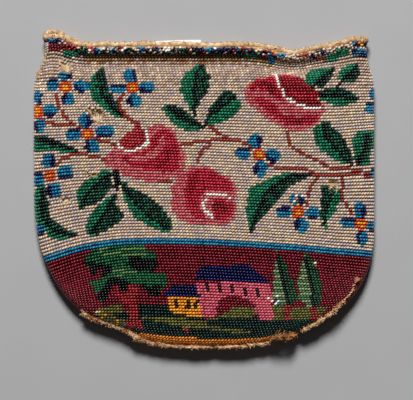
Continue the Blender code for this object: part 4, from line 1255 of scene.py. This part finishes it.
def thread_finish(name, dark, light, scale=420.0):
    """Loosely spun thread: mottled colour, and a fine twist in its bump."""
    thread = Finish(name, 0.85, 0.25)
    thread_place = thread.place()
    mottling = thread.noise(scale, 3.0, thread_place) * MOTTLING_CONTRAST - MOTTLING_SHIFT
    thread.feed("Base Color", thread.mix(mottling, colour(*dark), colour(*light)))
    thread.bump(thread.noise(scale * 4, 2.0, thread_place), 0.6, 0.15 * MM)
    return thread.material


cream_silk = thread_finish("cream_silk", (168, 122, 76), (238, 208, 166))
edging_shape = wrapped_grid(EDGING_STEPS, EDGING_SIDES, edging_place)
edging = finished("edging_of_the_mouth", edging_shape, cream_silk)
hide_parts("mouth_edging")
print("Faces of the edging:", len(edging.data.polygons))

# %% [markdown]
# ## The white tape
#
# A strip of white cotton tape lies inside the back and shows a little past the mouth. It is a flat strip
# with a slight wave and a wall of its own.

# %% The tape
TAPE_PLACE, TAPE_WIDTH = -13.6 * MM, 24.4 * MM
TAPE_INSIDE, TAPE_PAST_EDGING = 9.0 * MM, 1.5 * MM
TAPE_THICKNESS = 0.4 * MM
TAPE_SLANT = 0.9 * MM
TAPE_GRID = {"x_segments": 48, "y_segments": 14}
TAPE_RIPPLE, TAPE_RIPPLE_TURN = 0.06 * MM, 31.0


def tape_sheet():
    lining_face = float(back_height(BAG_HEIGHT)) + COVER_WALL + FIT_GAP + LINING_WALL
    level = max(lining_face, EDGING_REST + 2 * EDGING_RADIUS) + FIT_GAP + TAPE_THICKNESS / 2
    low = BAG_HEIGHT - TAPE_INSIDE
    high = BAG_HEIGHT + FIT_GAP + 2 * EDGING_RADIUS + TAPE_PAST_EDGING
    shape = bmesh.new()
    bmesh.ops.create_grid(shape, **TAPE_GRID, size=0.5)
    for vert in shape.verts:
        across = TAPE_PLACE + TAPE_WIDTH * vert.co.x
        height = low + (high - low) * (vert.co.y + 0.5)
        ripple = TAPE_RIPPLE * math.sin(vert.co.x * TAPE_RIPPLE_TURN) * (vert.co.y + 0.5)
        rise = float(mouth_rise(across, height, 1.0)) - TAPE_SLANT * (0.5 - vert.co.x) ** 2
        vert.co = Vector((across, height + rise, level + ripple)) + Vector(SEAM_MIDDLE)
    return shape, high - low


def tape_cotton():
    tape = Finish("white_tape_cotton", 0.8, 0.2)
    at = tape.place()
    twill = tape.bands("DIAGONAL", 800.0, 0.4, at)
    mottling = tape.noise(300.0, 3.0, at)
    tape.feed("Base Color", tape.mix(mottling, colour(232, 226, 214), colour(255, 252, 246)))
    tape.bump(twill, 0.4, 0.1 * MM)
    return tape.material


tape_shape, tape_length = tape_sheet()
tape = finished("tape_strip", tape_shape, tape_cotton())
give_wall(tape, TAPE_THICKNESS, 0.0)
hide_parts("white_tape")
print("Tape, in mm:", round(TAPE_WIDTH / MM, 1), "by", round(tape_length / MM, 1))

# %% [markdown]
# ## Threads
#
# The seam is frayed, the stitching up its right side shows, and loops of bare silk stand at the losses.
# All of them are thin tubes along a wandering line, so one helper makes them: it moves a ring of corners
# along the line and closes both ends.


# %% A thread along a line
THIN_END = 0.45
THREAD_FLOOR = 0.2 * MM
LOOSE_SIDES = 4

# Loose threads: shortest, longest and radius in mm, then how many steps they are made in and their curl
LOOSE_THREADS = {
    "edging": (0.7, 1.7, 0.13, 4, 0.7),
    "fray": (0.8, 2.0, 0.13, 4, 0.8),
    "stitch": (0.8, 2.2, 0.13, 5, 0.9),
    "matted": (0.8, 2.2, 0.14, 5, 0.8),
    "tuft": (1.4, 3.4, 0.17, 7, 0.9),
    "left_edge": (0.8, 2.2, 0.15, 5, 0.9),
    "tangle": (0.8, 1.8, 0.14, 5, 0.6),
}
draw = random.Random(11)


def add_thread(shape, line, radius, sides):
    """Add a tube along a line of points to a bmesh."""
    line = [Vector(point) for point in line]
    rings = []
    for number, here in enumerate(line):
        forward = (line[min(number + 1, len(line) - 1)] - line[max(number - 1, 0)]).normalized()
        level = Vector((0.0, 0.0, 1.0)) if abs(forward.z) < 0.9 else Vector((1.0, 0.0, 0.0))
        first = forward.cross(level).normalized()
        second = forward.cross(first)
        at_end = number in (0, len(line) - 1)
        reach = radius * (THIN_END if at_end else 1.0)
        turns = [2 * math.pi * side / sides for side in range(sides)]
        spokes = [first * math.cos(turn) + second * math.sin(turn) for turn in turns]
        rings.append([shape.verts.new(here + spoke * reach) for spoke in spokes])
    for ring, following in zip(rings, rings[1:]):
        for side in range(sides):
            after = (side + 1) % sides
            shape.faces.new((ring[side], ring[after], following[after], following[side]))
    shape.faces.new(reversed(rings[0]))
    shape.faces.new(rings[-1])


def between(*ranges):
    """A vector with each part drawn at random from its range."""
    return Vector([draw.uniform(low, high) for low, high in ranges])


def scatter(reach):
    """A vector with every part drawn at random, up to reach either way."""
    return between(*[(-reach, reach)] * 3)


def curled(start, direction, length, steps, curl):
    """A line that leaves start in a direction and curls at random, above the surface below."""
    points = [Vector(start)]
    heading = Vector(direction).normalized()
    for _ in range(steps):
        heading = (heading + scatter(curl)).normalized()
        following = points[-1] + heading * length / steps
        following.z = max(following.z, THREAD_FLOOR)
        points.append(following)
    return points


def add_loose(shape, start, heading, kind):
    """Add a loose thread of one of the kinds above, with a length drawn at random."""
    shortest, longest, radius, steps, curl = LOOSE_THREADS[kind]
    length = draw.uniform(shortest, longest) * MM
    add_thread(shape, curled(start, heading, length, steps, curl), radius * MM, LOOSE_SIDES)


# %% [markdown]
# ### Loose ends on the edging
#
# The bare knitting of the edging is worn. Short ends and pulled stitches lie over it all the way round.

# %% Ends on the edging
EDGING_ENDS = 1300
END_REACH = 0.004  # share of the way round over which an end's direction is taken
ends = bmesh.new()
end_shares = np.array([draw.random() for _ in range(EDGING_ENDS)])
end_turns = np.array([draw.random() for _ in range(EDGING_ENDS)])
end_starts = edging_place(end_shares, end_turns)
end_aheads = edging_place((end_shares + END_REACH) % 1.0, end_turns)
for start, ahead in zip(end_starts, end_aheads):
    start = Vector(start)
    heading = (Vector(ahead) - start).normalized() + scatter(0.9)
    add_loose(ends, start, heading, "edging")
ends_piece = finished("ends_on_the_edging", ends, cream_silk)
print("Faces of the ends:", len(ends_piece.data.polygons))

# %% [markdown]
# ### The frayed seam
#
# Along the bottom the ends of the knitting have come loose. A matted cord of short fibres runs along the
# edge, and single ends stand out from it.

# %% Frayed ends along the seam
FRAY_LEFT_ROW, FRAY_RIGHT_PLACE = 15.0 * MM, 31.0 * MM
FRAY_RADIUS = 1.0 * MM
FRAY_LIFT = 1.5 * MM
FRAY_STRANDS, FRAY_FIBRES = 5, 1700
STRAND_SPREAD, FIBRE_SPREAD = 0.75, 0.95  # in mm, to either side of the fray's middle
STRAND_RADII, STRAND_SIDES = (0.35, 0.55), 6  # radii in mm


def seam_edge(clearance, left_row=FRAY_LEFT_ROW, steps=120):
    """Points along the sewn edge, from up the left side to the bottom right, stood off in plan."""
    side_rows = np.linspace(left_row, 0.0, steps)
    side = bag_point(math.pi, side_rows)
    angles = np.linspace(math.pi, 0.0, steps)[1:]
    bottom = (bag_point(angles, 0.0) + bag_point(-angles, 0.0)) / 2
    bottom[:, 1] -= SEAM_ROUNDING
    edge = np.concatenate([side, bottom])
    forward = unit(edge[2:] - edge[:-2])
    out = np.stack([forward[:, 1], -forward[:, 0], np.zeros(len(forward))], axis=1)
    return edge[1:-1] + out * clearance, out


fray = bmesh.new()
edge_points, edge_out = seam_edge(-FRAY_RADIUS * 0.1)
edge_points[:, 2] += FRAY_LIFT
along_seam = [number for number, point in enumerate(edge_points) if point[0] < FRAY_RIGHT_PLACE]
for _ in range(FRAY_STRANDS):
    line = [Vector(edge_points[number]) + scatter(STRAND_SPREAD) * MM for number in along_seam[::3]]
    add_thread(fray, line, draw.uniform(*STRAND_RADII) * MM, STRAND_SIDES)
for _ in range(FRAY_FIBRES):
    number = draw.choice(along_seam)
    start = Vector(edge_points[number]) + scatter(FIBRE_SPREAD) * MM
    out = Vector(edge_out[number]) * draw.uniform(-0.3, 0.6)
    add_loose(fray, start, out + between((-1, 1), (-0.5, 0.7), (-0.3, 0.7)), "fray")
frayed_thread = thread_finish("frayed_thread", (164, 88, 36), (246, 214, 168))
fray_piece = finished("frayed_ends", fray, frayed_thread)
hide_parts("seam_fray")
print("Faces of the fray:", len(fray_piece.data.polygons))

# %% [markdown]
# ### The stitching on the right
#
# A line of overcast stitches in yellow-cream thread holds the seam up the right side. Each stitch is a
# short thread that lies slantwise over the line, with loose ends here and there.

# %% Stitches
STITCH_TOP_ROW, STITCH_LOW_ROW = 35.0 * MM, 5.0 * MM
STITCH_FROM_EDGE = 3.0 * MM
STITCH_RADIUS, STITCH_SIDES = 0.25 * MM, 6
STITCH_COUNT = 18
STITCH_RISE, STITCH_BOW = 0.5 * MM, 0.12 * MM
LOOSE_STITCH_SHARE = 0.7
MATTED_ROW = 17.0 * MM  # below it the stitching is matted with loose ends
MATTED_THREADS = 380
KNOT_THREADS, KNOT_LENGTH, KNOT_RADIUS = 26, 1.6 * MM, 0.16 * MM


def front_angle(across, row):
    """The angle of the front's point at a place across the bag."""
    side = 1 if across >= 0 else -1
    share = min(1.0, abs(across) / float(outline_half_width(side, row + side_shift(side, row))))
    return math.acos(side * share ** (1.0 / CORNER_SHARE))


def above_front(across, row, clearance):
    """A point that stands off the front at a place across the bag."""
    angle = np.array([front_angle(across, row)])
    here, _, _, out = wall_frame(angle, np.array([row]), 0.0)
    return Vector((here + out * clearance)[0])


def stitch_point(row, aside, clearance):
    """A point over the line of the stitches."""
    edge_across = float(outline_half_width(1, row + side_shift(1, row)))
    return above_front(edge_across - STITCH_FROM_EDGE + aside, row, clearance)


stitching = bmesh.new()
stitch_pitch = (STITCH_TOP_ROW - STITCH_LOW_ROW) / STITCH_COUNT
for number in range(STITCH_COUNT):
    row = STITCH_LOW_ROW + stitch_pitch * (number + draw.uniform(-0.3, 0.3))
    aside, reach = draw.uniform(-0.5, 0.5) * MM, draw.uniform(0.6, 1.1) * MM
    low = stitch_point(row - reach * 0.7, aside - reach * 0.6, STITCH_RADIUS * 0.5)
    high = stitch_point(row + reach * 0.7, aside + reach * 0.5, STITCH_RADIUS * 0.5)
    crown = (low + high) / 2 + Vector((draw.uniform(-0.3, 0.3) * MM, 0.0, STITCH_RISE))
    bowed = (low + crown) / 2 + Vector((0.0, 0.0, STITCH_BOW))
    add_thread(stitching, [low, bowed, crown, (crown + high) / 2, high], STITCH_RADIUS, STITCH_SIDES)
    if draw.random() < LOOSE_STITCH_SHARE:
        add_loose(stitching, crown, between((-1, 1), (-1, 1), (0.0, 0.6)), "stitch")
for _ in range(MATTED_THREADS):
    row = STITCH_LOW_ROW - 1.0 * MM + MATTED_ROW * draw.random() ** 1.4
    start = stitch_point(row, draw.uniform(-0.7, 0.9) * MM, draw.uniform(0.1, 0.6) * MM)
    add_loose(stitching, start, between((-0.6, 1.0), (-0.4, 1.0), (-0.2, 0.5)), "matted")
for _ in range(KNOT_THREADS):
    start = stitch_point(STITCH_TOP_ROW, draw.uniform(-0.7, 0.7) * MM, draw.uniform(0.2, 0.8) * MM)
    heading = between((-1, 1), (-1, 1), (-0.3, 0.4))
    add_thread(stitching, curled(start, heading, KNOT_LENGTH, 6, 1.0), KNOT_RADIUS, LOOSE_SIDES)
yellow_thread = thread_finish("yellow_thread", (190, 116, 54), (255, 234, 184))
stitch_piece = finished("overcast_stitches", stitching, yellow_thread)
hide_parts("seam_stitching")
print("Faces of the stitches:", len(stitch_piece.data.polygons))

# %% [markdown]
# ### The brown tuft
#
# Where the stitching begins, a tuft of brown thread sits on the seam: many short curled strands wound
# round each other.

# %% The tuft
TUFT_START, TUFT_LENGTH, TUFT_ROW, TUFT_RADIUS = 30.0 * MM, 12.0 * MM, 2.6 * MM, 1.7 * MM
TUFT_THREADS = 230
tuft = bmesh.new()
for _ in range(TUFT_THREADS):
    share = draw.random()
    thick = TUFT_RADIUS * max(0.25, math.sin(math.pi * share))
    middle = above_front(TUFT_START + TUFT_LENGTH * share, TUFT_ROW, thick * 0.8)
    start = middle + scatter(0.7) * thick
    add_loose(tuft, start, between((-0.4, 1.0), (-0.6, 0.6), (-0.4, 0.5)), "tuft")
brown_thread = thread_finish("brown_thread", (92, 46, 22), (224, 158, 98))
tuft_piece = finished("curled_tuft", tuft, brown_thread)
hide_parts("thread_tuft")
print("Faces of the tuft:", len(tuft_piece.data.polygons))

# %% [markdown]
# ### Loops at the losses
#
# Round each loss the silk stitches that held the beads stand as small loose loops. Broken ends stand at
# the left edge below the mouth, and dark brown threads lie in the holes: loose silk, some of it dark of
# itself and the rest painted dark as shade inside the holes.

# %% Loops of bare silk
LOOP_STEP = 1.3 * MM
LOOP_RADIUS, LOOP_SIDES, LOOP_STEPS = 0.13 * MM, 5, 5
EDGE_BITS, EDGE_BIT_ROWS = 90, (122.5 * MM, 133.0 * MM)
EDGE_BIT_TURNS = (0.93, 0.99)  # how far round the front they stand: 1 is the left fold


def over_chart(x, y, clearance):
    """A point that stands off the front over a place on the chart."""
    return above_front((x - CHART_MIDDLE) * CHART_UNIT, (CHART_SEAM - y) * CHART_UNIT, clearance)


loops = bmesh.new()
for outline in LOSSES:
    middle = over_chart(*np.mean(outline, axis=0), -0.6 * MM)
    for (x1, y1), (x2, y2) in zip(outline, outline[1:] + outline[:1]):
        steps = max(1, round(math.hypot(x2 - x1, y2 - y1) * CHART_UNIT / LOOP_STEP))
        for step in range(steps):
            share = (step + draw.random()) / steps
            foot = over_chart(x1 + (x2 - x1) * share, y1 + (y2 - y1) * share, draw.uniform(-0.7, -0.2) * MM)
            inward = (middle - foot).normalized()
            sideways = Vector((-inward.y, inward.x, 0.0))
            width, reach, rise = between((0.35, 0.6), (0.2, 1.5), (0.0, 0.5)) * MM
            line = []
            for way in range(LOOP_STEPS + 1):
                bow = math.sin(math.pi * way / LOOP_STEPS)
                over = sideways * width * (2 * way / LOOP_STEPS - 1)
                line.append(foot + over + inward * reach * bow + Vector((0.0, 0.0, rise * bow)))
            add_thread(loops, line, LOOP_RADIUS, LOOP_SIDES)
for _ in range(EDGE_BITS):
    row = draw.uniform(*EDGE_BIT_ROWS)
    angle = math.pi * draw.uniform(*EDGE_BIT_TURNS)
    here, _, _, out = wall_frame(np.array([angle]), np.array([row]), 0.0)
    start = Vector((here + out * draw.uniform(0.0, 0.5) * MM)[0])
    add_loose(loops, start, between((-0.5, 0.5), (-1, 1), (-0.3, 0.6)), "left_edge")
bare_silk = thread_finish("bare_silk", (178, 134, 84), (255, 238, 200), 500.0)
loop_piece = finished("silk_loops", loops, bare_silk)
print("Faces of the loops:", len(loop_piece.data.polygons))

# %% Dark threads in the losses, partly painted shade of the holes
DARK_TANGLES = (  # middle and reach across and down on the chart, and how many threads
    ((95, 112.5), (6.5, 4.5), 70),
    ((91, 118), (2.5, 3.0), 16),
    ((91, 173), (5.5, 1.2), 22),
    ((66, 198), (5.0, 1.0), 18),
    ((334, 184), (4.0, 3.0), 44),
)
tangles = bmesh.new()
for (x, y), (across, down), count in DARK_TANGLES:
    for _ in range(count):
        aside, below, depth = between((-1, 1), (-1, 1), (-1.4, -0.7))
        start = over_chart(x + across * aside, y + down * below, depth * MM)
        add_loose(tangles, start, between((-0.5, 0.5), (-1, 1), (-0.1, 0.2)), "tangle")
# Painted shade: the threads are dark brown so that the holes look shadowed inside.
dark_silk = thread_finish("dark_silk_for_hole_shade", (74, 56, 34), (168, 138, 98), 500.0)
tangle_piece = finished("dark_threads_for_hole_shade", tangles, dark_silk)
print("Faces of the darkened threads:", len(tangle_piece.data.polygons))

# %% [markdown]
# ## Floor, light and camera
#
# The bag lies on plain grey. A broad soft lamp stands above the mouth, a little to the left, so that the
# shadow falls below the seam, and the sky adds an even fill. The camera looks straight down.

# %% Floor
FLOOR_SIZE = 4.0
floor_shape = bmesh.new()
bmesh.ops.create_grid(floor_shape, x_segments=1, y_segments=1, size=FLOOR_SIZE / 2)
floor_mesh = bpy.data.meshes.new("floor")
floor_shape.to_mesh(floor_mesh)
floor_shape.free()
floor = bpy.data.objects.new("floor", floor_mesh)
bpy.context.scene.collection.objects.link(floor)
paper = Finish("grey_paper", 0.95, 0.1)
paper.feed("Base Color", paper.mix(paper.noise(40.0), colour(172, 172, 173), colour(177, 177, 178)))
floor_mesh.materials.append(paper.material)
floor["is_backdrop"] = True

# %% Light
LAMP_TURN, LAMP_LIFT = math.radians(4.0), math.radians(47.0)
LAMP_DISTANCE, LAMP_SIZE = 2.4, 0.7
LAMP_SHARE, SKY_SHARE = 0.95, 0.035
lamp_way = Vector((-math.sin(LAMP_TURN) * math.cos(LAMP_LIFT), math.cos(LAMP_TURN) * math.cos(LAMP_LIFT),
                   math.sin(LAMP_LIFT)))
lamp_data = bpy.data.lights.new("softbox", "AREA")
lamp_data.shape = "DISK"
lamp_data.size = LAMP_SIZE
lamp_data.energy = LAMP_SHARE * math.pi**2 * LAMP_DISTANCE**2 / math.sin(LAMP_LIFT)
lamp = bpy.data.objects.new("softbox", lamp_data)
lamp.location = lamp_way * LAMP_DISTANCE
lamp.rotation_euler = lamp_way.to_track_quat("Z", "Y").to_euler()
bpy.context.scene.collection.objects.link(lamp)

world = bpy.data.worlds.new("studio")
bpy.context.scene.world = world
world.use_nodes = True
sky = world.node_tree.nodes["Background"]
sky.inputs["Color"].default_value = (1.0, 1.0, 1.0, 1.0)
sky.inputs["Strength"].default_value = SKY_SHARE
bpy.context.scene.view_settings.view_transform = "Standard"

# %% Camera
PICTURE_WIDTH = 190.0 * MM
PICTURE_PLACE = (206.5, 200.0)  # of the picture's middle, on the chart
CAMERA_LEVEL = 8.0 * MM
PICTURE_MIDDLE = Vector((
    SEAM_MIDDLE[0] + (PICTURE_PLACE[0] - CHART_MIDDLE) * CHART_UNIT,
    SEAM_MIDDLE[1] + (CHART_SEAM - PICTURE_PLACE[1]) * CHART_UNIT,
    CAMERA_LEVEL,
))
CAMERA_DISTANCE = 1.2
camera_data = bpy.data.cameras.new("camera")
camera_data.sensor_width = 36.0
camera_data.lens = camera_data.sensor_width * CAMERA_DISTANCE / PICTURE_WIDTH
camera_data.clip_end = 10.0
camera = bpy.data.objects.new("camera", camera_data)
camera.location = PICTURE_MIDDLE + Vector((0.0, 0.0, CAMERA_DISTANCE))
bpy.context.scene.collection.objects.link(camera)
bpy.context.scene.camera = camera
print("Lens in mm:", round(camera_data.lens, 1))

# %% Measure the bounds of what is shown
low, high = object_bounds()
